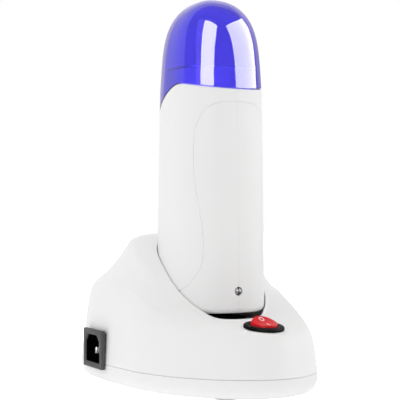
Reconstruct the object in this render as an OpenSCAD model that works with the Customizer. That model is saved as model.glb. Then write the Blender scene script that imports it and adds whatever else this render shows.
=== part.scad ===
// Roll-on wax heater: a hand-held cartridge heater standing in a mains-fed base.
// Millimetres. +Z up, front (switch and lamp) toward -Y, mains inlet on the -X side.
// The origin is on the table, under the middle of the whole width and length, inlet included.

/* [Base] */
// Half width of the base where the two mouldings meet
base_half_w = 55.7; // [52:0.1:60]
// Length of the base, front to back
base_len = 178.1; // [165:0.1:190]
// Reach of the base in front of the handle axis
base_front = 78.1; // [74:0.1:84]
// Wall of the base mouldings
base_wall = 2.4; // [1.8:0.1:3]
// Underside of the tray above the table
tray_lift = 0.8; // [0.6:0.1:2]
// Height of the line where the tray meets the housing
seam_z = 11.6; // [10:0.1:13]
// Visible gap along that line
seam_gap = 0.4; // [0.2:0.1:0.6]
// Floor of the tray
tray_floor = 2.5; // [2:0.1:3]
// Height of the shoulder over the rear of the base
shoulder_rear_z = 55.6; // [50:0.1:62]
// Height of the crest behind the handle
crest_z = 90.5; // [84:0.5:96]

/* [Deck and cradle] */
// Height of the deck at the front lip of the cradle
lip_z = 41.2; // [40:0.1:42]
// Fall of the deck toward the front, millimetres in a millimetre
deck_fall = 0.14; // [0.1:0.01:0.2]
// Floor of the cradle
cradle_floor_z = 37.4; // [35:0.1:38]
// Gap between the handle and the cradle
cradle_gap = 0.7; // [0.5:0.1:1.2]
// Open space in front of the handle inside the cradle
cradle_front_gap = 1.2; // [0.8:0.1:3]

/* [Handle] */
// Half width of the handle at its widest
handle_half_w = 29.4; // [28:0.1:31]
// Reach of the handle in front of its axis
handle_front = 31.2; // [30:0.1:33]
// Reach of the handle behind its axis
handle_rear = 28.2; // [27:0.1:30]
// Underside of the handle
handle_bottom_z = 42.6; // [42:0.1:44]
// Top edge of the handle shells at the front
handle_top_z = 172.8; // [165:0.1:178]
// Narrowing of the handle from bottom to top, as a share of its section
handle_taper = 0.0475; // [0.02:0.0005:0.06]
// Wall of the handle shells
shell_wall = 2.2; // [1.8:0.1:2.6]

/* [Cap] */
// Height of the cap's crown
cap_top_z = 228.4; // [218:0.1:236]
// Wall of the cap
cap_wall = 1.8; // [1.4:0.1:2]
// Gap along the edge between the cap and the handle
cap_gap = 0.4; // [0.3:0.1:0.6]
// Depth of the rear cut-out that the cap's tongue fills
tongue_depth = 29; // [22:0.5:32]

/* [Cartridge chamber] */
// Room between each side of the handle and the inside of the chamber
chamber_side_room = 7.4; // [7:0.1:9]
// Room between the front or rear of the handle and the inside of the chamber
chamber_end_room = 13.7; // [13:0.1:15]
// Wall of the chamber
chamber_wall = 1.5; // [1.2:0.1:1.6]
// Underside of the chamber
chamber_floor_z = 71.4; // [68:0.5:76]
// Height of the collar above the front edge of the shells
collar_rise = 13.2; // [9:0.1:14]

/* [Switch] */
// Diameter of the switch bezel
bezel_d = 23; // [22.6:0.1:24]
// Diameter of the switch body below the deck
switch_body_d = 19.8; // [19.4:0.1:20.2]
// Diameter of the rocker
rocker_d = 15.6; // [15:0.1:16.4]
// Distance of the switch in front of the handle axis
switch_front = 57.5; // [56:0.1:58.5]
// Angle that the rocker tips from one side to the other
rocker_travel = 22; // [18:1:24]

/* [Mains inlet] */
// Width of the inlet flange
inlet_w = 31; // [30:0.1:32]
// Height of the inlet flange
inlet_h = 23; // [22.6:0.1:24]
// Thickness of the inlet flange
inlet_flange = 2.5; // [2:0.1:3]
// Height of the middle of the inlet
inlet_z = 20.2; // [20:0.1:21.4]
// Distance of the inlet behind the handle axis
inlet_back = 44; // [40:0.5:48]
// Turn of the inlet toward the rear, in degrees
inlet_yaw = 5; // [0:0.5:7]

/* [Dock connector] */
// Width of the dock block
dock_w = 24; // [22:0.1:25]
// Depth of the dock block, front to back
dock_d = 14; // [13:0.1:15]
// Height of the dock block above the cradle floor
dock_h = 15; // [13:0.1:16]
// Distance between the two contact pins
pin_pitch = 12; // [11:0.1:13]
// Diameter of a contact pin
pin_d = 2; // [1.8:0.05:2.2]

/* [Indicator lamp] */
// Diameter of the indicator lamp
lamp_d = 5; // [4.6:0.1:5.4]
// Height of the indicator lamp
lamp_z = 56.8; // [54:0.1:58]

/* [Hidden] */

$fn = 48;
eps = 0.01;
slide_gap = 0.3;
far = 400;
inlet_sink = 0.9;
window_gap = 0.15;
base_rear = base_len - base_front;
handle_y = (base_front - base_rear) / 2;
inlet_seat_x = base_half_w - inlet_sink;
inlet_reach = inlet_seat_x + inlet_flange * cos(inlet_yaw) + inlet_w / 2 * sin(inlet_yaw);
handle_x = (inlet_reach - base_half_w) / 2;

white = "#f1f1f0";
black = "#2b2b2d";

// ---- sections: ovals with a rounder front and a squarer rear ----

sides = 52;
base_front_n = 1.92;
base_rear_n = 3.8;
grip_front_n = 2.4;
grip_rear_n = 3;

function signed_pow(v, p) = sign(v) * pow(abs(v), p);
function soft_min(a, b, k) = (a + b - sqrt((a - b) * (a - b) + k * k)) / 2;
function soft_max(a, b, k) = (a + b + sqrt((a - b) * (a - b) + k * k)) / 2;
function oval_point(t, half_w, front, rear, front_n, rear_n) =
    let (n = sin(t) < 0 ? front_n : rear_n, reach = sin(t) < 0 ? front : rear)
    [half_w * signed_pow(cos(t), 2 / n), reach * signed_pow(sin(t), 2 / n)];
function base_oval(t, inset) =
    oval_point(t, base_half_w - inset, base_front - inset, base_rear - inset, base_front_n, base_rear_n);
function grip_oval(t, grow, scale_xy = 1) =
    let (p = oval_point(t, handle_half_w * scale_xy + grow, handle_front * scale_xy + grow,
                        handle_rear * scale_xy + grow, grip_front_n, grip_rear_n))
    p;
function cradle_oval(t, grow) =
    oval_point(t, handle_half_w + cradle_gap + grow, handle_front + cradle_front_gap + grow,
               handle_rear + cradle_gap + grow, grip_front_n, grip_rear_n);
function at_z(p, z) = [p[0], p[1], z];
function toward(a, b, reach) = a + (b - a) * min(reach / max(norm(b - a), eps), 0.5);
function curve(a, b, c, s) = (1 - s) * (1 - s) * a + 2 * s * (1 - s) * b + s * s * c;

// A closed skin through rings of equal length, with flat ends. Each end is one face, or a strip of
// four-sided faces where the rings are a wall's section, whose points face each other in pairs.
module loft(rings, wall_section = false) {
    n = len(rings[0]);
    last = len(rings) - 1;
    points = [for (ring = rings) for (p = ring) p];
    skin = [for (r = [0:last - 1]) for (i = [0:n - 1])
        let (a = r * n + i, b = r * n + (i + 1) % n)
        each [[a, a + n, b + n], [a, b + n, b]]];
    start_end = wall_section
        ? [for (i = [0:n / 2 - 2]) [i, i + 1, n - 2 - i, n - 1 - i]]
        : [[for (i = [0:n - 1]) i]];
    far_end = [for (face = start_end) [for (k = [len(face) - 1:-1:0]) last * n + face[k]]];
    polyhedron(points, concat(skin, start_end, far_end), convexity = 8);
}

module rounded_rect(w, d, r) {
    square([w - 2 * r, d], center = true);
    square([w, d - 2 * r], center = true);
    for (x = [-1, 1], y = [-1, 1])
        translate([x * (w / 2 - r), y * (d / 2 - r)]) circle(r);
}

module at_handle() translate([handle_x, handle_y, 0]) children();

// ---- base: outline of the housing ----

deck_angle = atan(deck_fall);
lip_front = handle_front + cradle_front_gap;
crest_start = 29;
ramp_slope = (crest_z - lip_z) / (lip_front + crest_start);
shoulder_front = base_front - 4.6;
shoulder_inset = 2.6;
shoulder_rear_inset = 8;
shoulder_front_z = lip_z - deck_fall * (shoulder_front - lip_front);
flank_hollow = 1.9;
neck_near = 1.6;
neck_far = 14.2;
neck_from = -18.2;
neck_to = 19.4;
neck_drop = 3.2;
wall_round = 12.5;
shoulder_round = 6.5;
neck_round = 3;

function ease(share) = let (u = min(max(share, 0), 1)) u * u * (3 - 2 * u);

function deck_z(y) = lip_z - deck_fall * (-y - lip_front);
function crown_z(y) =
    soft_min(soft_max(deck_z(y), lip_z + ramp_slope * (lip_front + y), 2), crest_z, 6);
function shoulder_z(y) =
    let (from = shoulder_front * 0.77)
    shoulder_front_z + (shoulder_rear_z - shoulder_front_z) * ease((y + from) / (from + crest_start));
function shoulder_point(t, inset) =
    let (p = oval_point(t, base_half_w - shoulder_inset - inset, shoulder_front - inset,
                        base_rear - shoulder_rear_inset - inset, base_front_n, base_rear_n - 0.2))
    at_z(p, shoulder_z(p[1]) - inset);

// The neck leaves the cradle's rim beside the handle and runs wide of it round the rear.
function neck_point(t, inset) =
    let (y = cradle_oval(t, 0)[1],
         grow = neck_near + (neck_far - neck_near) * ease((y - neck_from) / (neck_to - neck_from)),
         p = cradle_oval(t, max(grow - inset / 2, inset > 0 ? inset + 0.4 : 0)))
    at_z(p, crown_z(p[1]) - neck_drop * pow(abs(cos(t)), 2) - inset);
// The flank is slightly hollow between shoulder and neck, toward the rear.
function flank_point(t, high, low) =
    (high + low) / 2 - 0.6 * flank_hollow * min(max((high[1] + 40) / 80, 0), 1) * [cos(t), sin(t), 1];
function rim_point(t, wall) = let (p = cradle_oval(t, wall)) at_z(p, crown_z(p[1]) - wall);

// The points of the housing's skin at angle t, from the seam up to the cradle's rim.
function housing_profile(t, inset, steps) =
    let (seam = at_z(base_oval(t, inset), seam_z + seam_gap),
         shoulder = shoulder_point(t, inset),
         neck = neck_point(t, inset),
         rim = rim_point(t, inset),
         low = toward(shoulder, seam, wall_round),
         high = toward(shoulder, neck, shoulder_round),
         neck_low = toward(neck, shoulder, neck_round),
         neck_high = toward(neck, rim, neck_round))
    concat(
        [seam, (seam + low) / 2],
        [for (i = [0:steps]) curve(low, shoulder, high, i / steps)],
        [flank_point(t, high, neck_low)],
        [for (i = [0:steps]) curve(neck_low, neck, neck_high, i / steps)],
        [rim]);

module housing_skin() {
    angles = [for (i = [0:sides - 1]) 360 * i / sides];
    outer = [for (t = angles) concat(housing_profile(t, 0, 4), [at_z(cradle_oval(t, 0), cradle_floor_z)])];
    inner = [for (t = angles)
        concat(housing_profile(t, base_wall, 2),
               [at_z(cradle_oval(t, base_wall), cradle_floor_z - base_wall)])];
    outer_count = len(outer[0]);
    inner_count = len(inner[0]);
    loft(concat(
        [for (k = [inner_count - 1:-1:0]) [for (p = inner) p[k]]],
        [for (k = [0:outer_count - 1]) [for (p = outer) p[k]]]));
}

// ---- base: fixings ----

screw_d = 2.9;
screw_head_d = 5.6;
screw_head_h = 2;
screw_hole_d = 3;
boss_d = 7.6;
boss_face_z = seam_z + 1.8;
screw_seat_z = tray_lift + 3;
screw_len = 16;
boss_spots = [[38, -30], [-38, -30], [40, 72], [-40, 72]];
foot_spots = [[22, -54], [-22, -54], [24, 76], [-24, 76]];
foot_d = 14;
foot_recess = 1.5;
foot_gap = 0.2;

module screw(length, d = screw_d, head_d = screw_head_d, head_h = screw_head_h) {
    // Head below z = 0, shank above it, cross slot in the head.
    difference() {
        translate([0, 0, -head_h]) cylinder(d = head_d, h = head_h);
        for (a = [0, 90])
            rotate(a) translate([-head_d * 0.32, -0.4, -head_h - eps]) cube([head_d * 0.64, 0.8, 1]);
    }
    cylinder(d = d, h = length);
}

// ---- base: tray ----

tray_top = seam_z;
tray_steps = [[0, 6.2], [0.7, 3.9], [2.1, 2.1], [4.3, 0.8], [6.8, 0.2], [tray_top - tray_lift, 0]];
lip_gap = 0.25;
lip_wall = 1.3;
lip_h = 1.5;

module tray_skin() {
    angles = [for (i = [0:sides - 1]) 360 * i / sides];
    lip_in = base_wall + lip_gap + lip_wall;
    inside = [[lip_in + 3, tray_lift + tray_floor], [lip_in + 0.8, tray_lift + tray_floor + 1.2],
              [lip_in, tray_top - 3], [lip_in, tray_top + lip_h], [base_wall + lip_gap, tray_top + lip_h],
              [base_wall + lip_gap, tray_top], [0, tray_top]];
    loft(concat(
        [for (k = [0:len(tray_steps) - 2])
            [for (t = angles) at_z(base_oval(t, tray_steps[k][1]), tray_lift + tray_steps[k][0])]],
        [for (k = [len(inside) - 1:-1:0])
            [for (t = angles) at_z(base_oval(t, inside[k][0]), inside[k][1])]]));
}

module base_tray() color(white) at_handle() difference() {
    union() {
        tray_skin();
        for (p = boss_spots)
            translate([p[0], p[1], tray_lift + 1]) cylinder(d = boss_d, h = boss_face_z - tray_lift - 1);
        intersection() {
            inlet_seat();
            translate([-far / 2, -far / 2, tray_lift + 1]) cube([far, far, tray_top - tray_lift - 1]);
        }
    }
    for (p = boss_spots) {
        translate([p[0], p[1], 0]) cylinder(d = screw_head_d + 0.6, h = screw_seat_z);
        translate([p[0], p[1], 0]) cylinder(d = screw_hole_d + 0.4, h = boss_face_z + 1);
    }
    for (p = foot_spots)
        translate([p[0], p[1], 0]) cylinder(d = foot_d + 2 * foot_gap, h = tray_lift + foot_recess);
    inlet_window();
    inlet_place() translate([-12, -inlet_w / 2 - 0.5, tray_top - inlet_z]) cube([20, inlet_w + 1, 10]);
}

module rubber_feet() color("#3a3a3c") at_handle()
    for (p = foot_spots) translate([p[0], p[1], 0]) rotate_extrude()
        polygon([[0, 0], [foot_d / 2 - 0.8, 0], [foot_d / 2, 0.8], [foot_d / 2, tray_lift + foot_recess],
                 [0, tray_lift + foot_recess]]);

module base_screws() color("#b9bcc0") at_handle()
    for (p = boss_spots) translate([p[0], p[1], screw_seat_z]) screw(screw_len);

// ---- base: housing ----

module base_housing() color(white) at_handle() difference() {
    union() {
        housing_skin();
        for (p = boss_spots)
            translate([p[0], p[1], boss_face_z]) cylinder(d = boss_d, h = boss_top(p) - boss_face_z);
        intersection() {
            inlet_seat();
            translate([-far / 2, -far / 2, seam_z + seam_gap]) cube(far);
        }
        switch_place() translate([0, 0, -base_wall - 0.4])
            cylinder(d = bezel_d + 1.4, h = base_wall + 0.4);
        for (x = [-1, 1]) translate([x * dock_screw_x, 0, cradle_floor_z - base_wall - 6])
            cylinder(d = 6.4, h = 6 + base_wall / 2);
    }
    for (p = boss_spots)
        translate([p[0], p[1], boss_face_z - 1]) cylinder(d = screw_hole_d, h = screw_len - 4);
    switch_place() {
        translate([0, 0, -20]) cylinder(d = switch_body_d + 0.4, h = 40);
        cylinder(d = bezel_d + 0.6, h = 4);
    }
    inlet_window();
    translate([0, 0, cradle_floor_z - base_wall - 1]) linear_extrude(base_wall + 2)
        square([pin_pitch + 8, 8], center = true);
    for (x = [-1, 1]) translate([x * dock_screw_x, 0, cradle_floor_z - base_wall - 7])
        cylinder(d = screw_hole_d, h = base_wall + 8);
}

// The bosses end inside the housing's skin.
function boss_top(p) = (p[1] < 0 ? (shoulder_z(p[1]) + crown_z(p[1])) / 2 : shoulder_rear_z) - base_wall / 2;

// ---- mains inlet ----

inlet_body_w = 27.2;
inlet_body_h = 19.8;
inlet_depth = 14;
socket_w = 24.4;
socket_h = 16.6;
socket_chamfer = 4.6;
socket_depth = 12.4;
blade_w = 4;
blade_t = 2;
inlet_tab = 6;
tab_t = 0.8;
blade_sink = 0.8;
blade_spots = [[7, -2], [-7, -2], [0, 2]];

module inlet_place() translate([-inlet_seat_x, inlet_back, inlet_z]) rotate(180 - inlet_yaw) children();
module along_x() rotate([90, 0, 90]) children();
module inlet_seat() inlet_place()
    translate([-6, -inlet_w / 2 + 0.4, -inlet_h / 2 + 0.4]) cube([6, inlet_w - 0.8, inlet_h - 0.8]);
// The hole for the inlet's body, and the recess in the wall that its flange sits in.
module inlet_window() inlet_place() {
    translate([-inlet_depth, -inlet_body_w / 2 - window_gap, -inlet_body_h / 2 - window_gap])
        cube([inlet_depth + 6, inlet_body_w + 2 * window_gap, inlet_body_h + 2 * window_gap]);
    translate([0, -inlet_w / 2 - window_gap, -inlet_h / 2 - window_gap])
        cube([6, inlet_w + 2 * window_gap, inlet_h + 2 * window_gap]);
}
module socket_outline(w, h, chamfer)
    polygon([[-w / 2, -h / 2], [w / 2, -h / 2], [w / 2, h / 2 - chamfer], [w / 2 - chamfer, h / 2],
             [-w / 2 + chamfer, h / 2], [-w / 2, h / 2 - chamfer]]);

module inlet_housing() color(black) at_handle() inlet_place() difference() {
    union() {
        along_x() linear_extrude(inlet_flange) rounded_rect(inlet_w, inlet_h, 2);
        translate([-inlet_depth, -inlet_body_w / 2, -inlet_body_h / 2])
            cube([inlet_depth, inlet_body_w, inlet_body_h]);
    }
    translate([inlet_flange - socket_depth, 0, 0]) along_x()
        linear_extrude(socket_depth + 1) socket_outline(socket_w, socket_h, socket_chamfer);
    for (p = blade_spots) translate([-inlet_depth - 1, p[0] - blade_t / 2, p[1] - blade_w / 2])
        cube([inlet_depth, blade_t, blade_w]);
}

module inlet_pins() color("#c9ccd1") at_handle() inlet_place() for (p = blade_spots) {
    translate([-inlet_depth, p[0] - blade_t / 2, p[1] - blade_w / 2])
        cube([inlet_depth - blade_sink, blade_t, blade_w]);
    translate([-inlet_depth - inlet_tab, p[0] - tab_t / 2, p[1] - blade_w / 2])
        cube([inlet_tab + eps, tab_t, blade_w]);
}

// ---- switch ----

bezel_h = 2;
rocker_bore_d = rocker_d + 2 * slide_gap;
switch_depth = 15;
pivot_drop = 1.2;
pivot_d = 2;
pivot_gap = 0.06;
pivot_len = rocker_bore_d + 2 * 1.1;
switch_pitch = 4.5;
switch_tab = 6;

module switch_place()
    translate([0, -switch_front, deck_z(-switch_front)]) rotate([deck_angle, 0, 0]) children();

module switch_bezel() color(black) at_handle() switch_place() difference() {
    rotate_extrude(angle = 360) polygon([
        [0, -switch_depth], [switch_body_d / 2, -switch_depth], [switch_body_d / 2, 0], [bezel_d / 2, 0],
        [bezel_d / 2, bezel_h - 1.1], [bezel_d / 2 - 0.4, bezel_h - 0.4], [bezel_d / 2 - 1.2, bezel_h],
        [0, bezel_h]]);
    translate([0, 0, -switch_depth + 2]) cylinder(d = rocker_bore_d, h = switch_depth + bezel_h);
    translate([-pivot_len / 2 - 0.2, 0, bezel_h - pivot_drop - rocker_lift]) rotate([0, 90, 0])
        cylinder(d = pivot_d + 2 * pivot_gap, h = pivot_len + 0.4);
    for (x = [-1, 1])
        translate([x * switch_pitch - tab_t / 2, -2.4, -switch_depth - 1]) cube([tab_t, 4.8, 4]);
}

rocker_lift = 0.7;
rocker_r = rocker_d / 2;
pivot_z = bezel_h - pivot_drop - rocker_lift;
rocker_tilt = rocker_travel / 2;
rocker_skirt = 3.5;
rocker_waist = 3.1;
rocker_hollow_r = 16.5;

// At rest the front half is pressed in and the rear half stands up.
module switch_rocker() color("#d8202c") at_handle() switch_place() translate([0, 0, pivot_z]) {
    rotate([rocker_tilt, 0, 0]) difference() {
        sphere(rocker_r);
        translate([-rocker_r, -rocker_r, -rocker_skirt - 2 * rocker_r]) cube(2 * rocker_r);
        translate([-rocker_r - 1, 0, rocker_waist + rocker_hollow_r]) rotate([0, 90, 0])
            cylinder(r = rocker_hollow_r, h = 2 * rocker_r + 2, $fn = 120);
    }
    translate([-pivot_len / 2, 0, 0]) rotate([0, 90, 0]) cylinder(d = pivot_d, h = pivot_len);
}

module switch_terminals() color("#c9b37a") at_handle() switch_place()
    for (x = [-1, 1]) translate([x * switch_pitch - tab_t / 2, -2.4, -switch_depth - switch_tab])
        cube([tab_t, 4.8, switch_tab + 2]);

// ---- dock ----

dock_flange_h = 3;
dock_flange_w = 40;
dock_flange_d = 18;
dock_screw_x = 16;
sleeve_d = 4;
pin_gap = 0.05;
sleeve_top_drop = 0.6;
sleeve_len = 21;
dock_seat_drop = 1.2;
dock_head_d = 4.8;
dock_screw_len = 8;

module dock_block() color(black) at_handle() difference() {
    translate([0, 0, cradle_floor_z]) union() {
        linear_extrude(dock_flange_h) rounded_rect(dock_flange_w, dock_flange_d, 3);
        linear_extrude(dock_h) rounded_rect(dock_w, dock_d, 3);
    }
    for (x = [-1, 1]) {
        translate([x * pin_pitch / 2, 0, cradle_floor_z - 1]) cylinder(d = sleeve_d, h = dock_h + 2);
        translate([x * dock_screw_x, 0, cradle_floor_z - 1]) cylinder(d = screw_hole_d + 0.4, h = dock_h);
        translate([x * dock_screw_x, 0, cradle_floor_z + dock_flange_h - dock_seat_drop])
            cylinder(d = dock_head_d + 0.4, h = dock_h);
    }
}

module dock_sleeves() color("#c8a046") at_handle() for (x = [-1, 1])
    translate([x * pin_pitch / 2, 0, cradle_floor_z + dock_h - sleeve_top_drop - sleeve_len])
        difference() {
            cylinder(d = sleeve_d, h = sleeve_len);
            translate([0, 0, 2]) cylinder(d = pin_d + 2 * pin_gap, h = sleeve_len);
        }

module dock_screws() color("#b9bcc0") at_handle() for (x = [-1, 1])
    translate([x * dock_screw_x, 0, cradle_floor_z + dock_flange_h - dock_seat_drop]) mirror([0, 0, 1])
        screw(dock_screw_len, screw_d, dock_head_d, dock_seat_drop);

// ---- wires: round tubes swept along points ----

function unit(v) = v / norm(v);
function tube_ring(p, dir, d, sides) =
    let (u = unit(cross(dir, abs(dir[2]) > 0.9 ? [1, 0, 0] : [0, 0, 1])), w = unit(cross(dir, u)))
    [for (i = [0:sides - 1]) p + d / 2 * (u * cos(360 * i / sides) + w * sin(360 * i / sides))];
function path_dir(path, i) =
    unit(path[min(i + 1, len(path) - 1)] - path[max(i - 1, 0)]);
module tube(path, d, sides = 8)
    loft([for (i = [len(path) - 1:-1:0]) tube_ring(path[i], path_dir(path, i), d, sides)]);
function arc_path(a, b, c, steps) = [for (i = [0:steps]) curve(a, b, c, i / steps)];

lead_d = 2;
lead_z = 9.5;

// Places on the inlet and the switch, seen from the handle axis.
function inlet_at(v) =
    let (a = 180 - inlet_yaw)
    [-inlet_seat_x + v[0] * cos(a) - v[1] * sin(a), inlet_back + v[0] * sin(a) + v[1] * cos(a),
     inlet_z + v[2]];
function switch_at(v) =
    [v[0], -switch_front + v[1] * cos(deck_angle) - v[2] * sin(deck_angle),
     deck_z(-switch_front) + v[1] * sin(deck_angle) + v[2] * cos(deck_angle)];
inlet_tail = -inlet_depth - inlet_tab;
function inlet_end(k) = inlet_at([inlet_tail, blade_spots[k][0], blade_spots[k][1]]);
function switch_end(x) = switch_at([x, 0, -switch_depth - switch_tab]);
function sleeve_end(x) = [x, 0, cradle_floor_z + dock_h - sleeve_top_drop - sleeve_len];

module lead(from, out, via, into, to) color(out[3]) tube(concat(
    arc_path(from, [out[0], out[1], out[2]], via, 6), arc_path(via, into, to, 6)), lead_d);

module base_leads() at_handle() {
    live_from = inlet_end(0);
    live_to = switch_end(-switch_pitch);
    lead(live_from, [live_from[0] + 16, live_from[1], lead_z, "#7a4a2a"],
         [-14, -14, lead_z], [live_to[0], live_to[1] + 4, lead_z - 4], live_to);
    feed_from = switch_end(switch_pitch);
    feed_to = sleeve_end(pin_pitch / 2);
    lead(feed_from, [feed_from[0] + 2, feed_from[1] + 4, lead_z - 4, "#7a4a2a"],
         [12, -22, lead_z], [feed_to[0], feed_to[1], lead_z + 2], feed_to);
    back_from = inlet_end(1);
    back_to = sleeve_end(-pin_pitch / 2);
    lead(back_from, [back_from[0] + 14, back_from[1], back_from[2], "#3c64b4"],
         [-12, 30, 22], [back_to[0], back_to[1] + 4, 16], back_to);
}

// ---- handle ----

shell_sides = sides / 2;
edge_slope = 0.2;
tongue_start = 14;
edge_rear_top = handle_top_z + 4.2;
edge_curve = tongue_depth / pow(tongue_start + handle_rear, 2);
foot_steps = [[0, 5.6], [1, 3], [2.8, 1.2], [5.6, 0.25]];
shell_opening = 0.66;

function handle_scale(z) =
    1 - handle_taper * pow(max(z - handle_bottom_z, 0) / (handle_top_z - handle_bottom_z), 1.5);
// Height of the shells' top edge, seen from the side, at y from the handle axis.
function edge_z(y) =
    soft_min(handle_top_z + edge_slope * (handle_front + y),
             edge_rear_top - edge_curve * pow(max(tongue_start + y, 0), 2), 1.2);
function edge_at(t) = edge_z(grip_oval(t, 0, handle_scale(handle_top_z))[1]);
function grip_point(t, z, inset) = at_z(grip_oval(t, -inset, handle_scale(z)), z);

foot_top_z = handle_bottom_z + foot_steps[len(foot_steps) - 1][0];
body_top_z = edge_rear_top - tongue_depth - 12;
body_bands = 6;
body_levels = [for (k = [1:body_bands]) foot_top_z + k * (body_top_z - foot_top_z) / body_bands];
inner_foot_rise = 0.6;
inner_foot_inset = 0.8;

// One wall section of a shell at angle t: up the inside and down the outside, point facing point.
function shell_profile(t) =
    let (top = edge_at(t),
         outside = concat(
             [at_z(grip_oval(t, 0, shell_opening), handle_bottom_z)],
             [for (s = foot_steps) grip_point(t, handle_bottom_z + s[0], s[1])],
             [for (z = body_levels) grip_point(t, z, 0)],
             [grip_point(t, top, 0)]),
         inside = concat(
             [at_z(grip_oval(t, 0, shell_opening), handle_bottom_z + shell_wall)],
             [for (s = foot_steps) grip_point(t, handle_bottom_z + shell_wall + inner_foot_rise * s[0],
                                              shell_wall + inner_foot_inset * s[1])],
             [for (z = body_levels) grip_point(t, z, shell_wall)],
             [grip_point(t, top, shell_wall)]))
    concat(inside, [for (k = [len(outside) - 1:-1:0]) outside[k]]);

// The half at -X; the other half is its mirror image.
module shell_skin() loft([for (i = [0:shell_sides]) shell_profile(90 + 180 * i / shell_sides)], true);

panel_w = 23.5;
panel_waist_w = 19.6;
panel_waist_z = handle_bottom_z + 37.8;
panel_top_z = handle_top_z - 43.4;
panel_arch = 34;
panel_flare = 0.0155;
panel_foot = 12.8;
panel_line_d = 0.9;

// Half width and height of the panel line, down the front of one half.
panel_line = concat(
    [for (a = [90:-10:0]) [panel_w * pow(cos(a), 2 / 3), panel_top_z + panel_arch * sqrt(sin(a))]],
    [for (k = [5:-1:0])
        [panel_waist_w + (panel_w - panel_waist_w) * (1 - cos(30 * k)) / 2,
         panel_waist_z + (panel_top_z - panel_waist_z) * k / 6]],
    [for (k = [1:5])
        let (drop = (panel_waist_z - handle_bottom_z - panel_foot) * k / 5)
        [panel_waist_w + panel_flare * drop * drop, panel_waist_z - drop]]);
function grip_front_y(w, z) =
    let (s = handle_scale(z), share = min(w / (handle_half_w * s), 1))
    -handle_front * s * pow(1 - pow(share, grip_front_n), 1 / grip_front_n);
function groove_ring(path, i) =
    let (along = path_dir(path, i),
         straight_out = unit([path[i][0], path[i][1], 0]),
         out = unit(straight_out - along * (straight_out * along)),
         across = cross(along, out))
    [for (v = [2 * out, across, -out, -across]) path[i] + panel_line_d / 2 * v];
module panel_groove(side) {
    path = concat(
        [[-side, grip_front_y(0, panel_line[0][1]), panel_line[0][1]]],
        [for (p = panel_line) [side * p[0], grip_front_y(p[0], p[1]), p[1]]]);
    loft([for (i = [len(path) - 1:-1:0]) groove_ring(path, i)]);
}

grip_screw_z = handle_bottom_z + 10.8;
grip_screw_spots = [[17, grip_screw_z], [-17, grip_screw_z]];
grip_boss_d = 7.4;
grip_screw_len = 18;
grip_seat_x = 12;
lamp_gap = 0.1;
lamp_stand = 0.9;
lamp_body = 5;
lamp_y = -handle_front + lamp_d / 2 - lamp_stand;
lamp_back_y = lamp_y + lamp_body + 1;

// Half width of the handle at y and z, inset from its skin.
function grip_x(y, z, inset) =
    let (s = handle_scale(z), n = y < 0 ? grip_front_n : grip_rear_n,
         reach = (y < 0 ? handle_front : handle_rear) * s - inset)
    (handle_half_w * s - inset) * pow(1 - pow(abs(y) / reach, n), 1 / n);

// A boss reaches the wall where the skin curves in past its far edge.
function grip_boss_len(p) =
    grip_x(sign(p[0]) * (abs(p[0]) + grip_boss_d / 2), p[1], shell_wall / 2);

module grip_bosses(side) for (p = grip_screw_spots)
    translate([side > 0 ? 0 : -grip_boss_len(p), p[0], p[1]]) rotate([0, 90, 0])
        cylinder(d = grip_boss_d, h = grip_boss_len(p));

module handle_shell_left() color(white) at_handle() difference() {
    union() {
        shell_skin();
        grip_bosses(-1);
    }
    lamp_hole();
    panel_groove(-1);
    for (p = grip_screw_spots) translate([-grip_screw_len, p[0], p[1]]) rotate([0, 90, 0])
        cylinder(d = screw_hole_d, h = grip_screw_len + 1);
}

module handle_shell_right() color(white) at_handle() difference() {
    union() {
        mirror([1, 0, 0]) shell_skin();
        grip_bosses(1);
    }
    lamp_hole();
    panel_groove(1);
    for (p = grip_screw_spots) {
        translate([-1, p[0], p[1]]) rotate([0, 90, 0]) cylinder(d = screw_hole_d + 0.4, h = 20);
        translate([grip_seat_x, p[0], p[1]]) rotate([0, 90, 0])
            cylinder(d = screw_head_d + 0.4, h = handle_half_w);
    }
}

module handle_screws() color("#b9bcc0") at_handle() for (p = grip_screw_spots)
    translate([grip_seat_x, p[0], p[1]]) rotate([0, -90, 0]) screw(grip_screw_len);

module lamp_hole() translate([0, -handle_front - 2, lamp_z]) rotate([-90, 0, 0])
    cylinder(d = lamp_d + 2 * lamp_gap, h = 8);

module indicator_lamp() color("#d9dde2") at_handle() translate([0, lamp_y, lamp_z]) {
    sphere(d = lamp_d);
    rotate([-90, 0, 0]) cylinder(d = lamp_d, h = lamp_body);
    translate([0, lamp_body, 0]) rotate([-90, 0, 0]) cylinder(d = lamp_d + 0.8, h = 1);
}

board_w = 16;
board_h = 14;
module lamp_board() color("#2f6b45") at_handle()
    translate([-board_w / 2, lamp_back_y, lamp_z - board_h / 2]) cube([board_w, 1.6, board_h]);

// ---- chamber ----

chamber_w = 2 * (handle_half_w - chamber_side_room);
chamber_d = handle_front + handle_rear - 2 * chamber_end_room;
chamber_y = (handle_rear - handle_front) / 2;
chamber_round = 10;
collar_inset = shell_wall + 0.25;
collar_wall = 1.6;
collar_deck = 2;
collar_bottom_z = edge_rear_top - tongue_depth - 6;
collar_top_z = handle_top_z + collar_rise;
chamber_gap = 0.2;
collar_shares = [0, 0.44, 0.72, 1];
collar_inner_share = 0.62;
function collar_level(share) = collar_bottom_z + share * (collar_top_z - collar_bottom_z);

module chamber_shape(grow)
    rounded_rect(chamber_w + 2 * grow, chamber_d + 2 * grow, chamber_round + grow);

module chamber_collar() color(white) at_handle() difference() {
    collar_skin();
    translate([0, chamber_y, collar_bottom_z - 10]) linear_extrude(100)
        chamber_shape(chamber_wall + chamber_gap);
}

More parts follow.
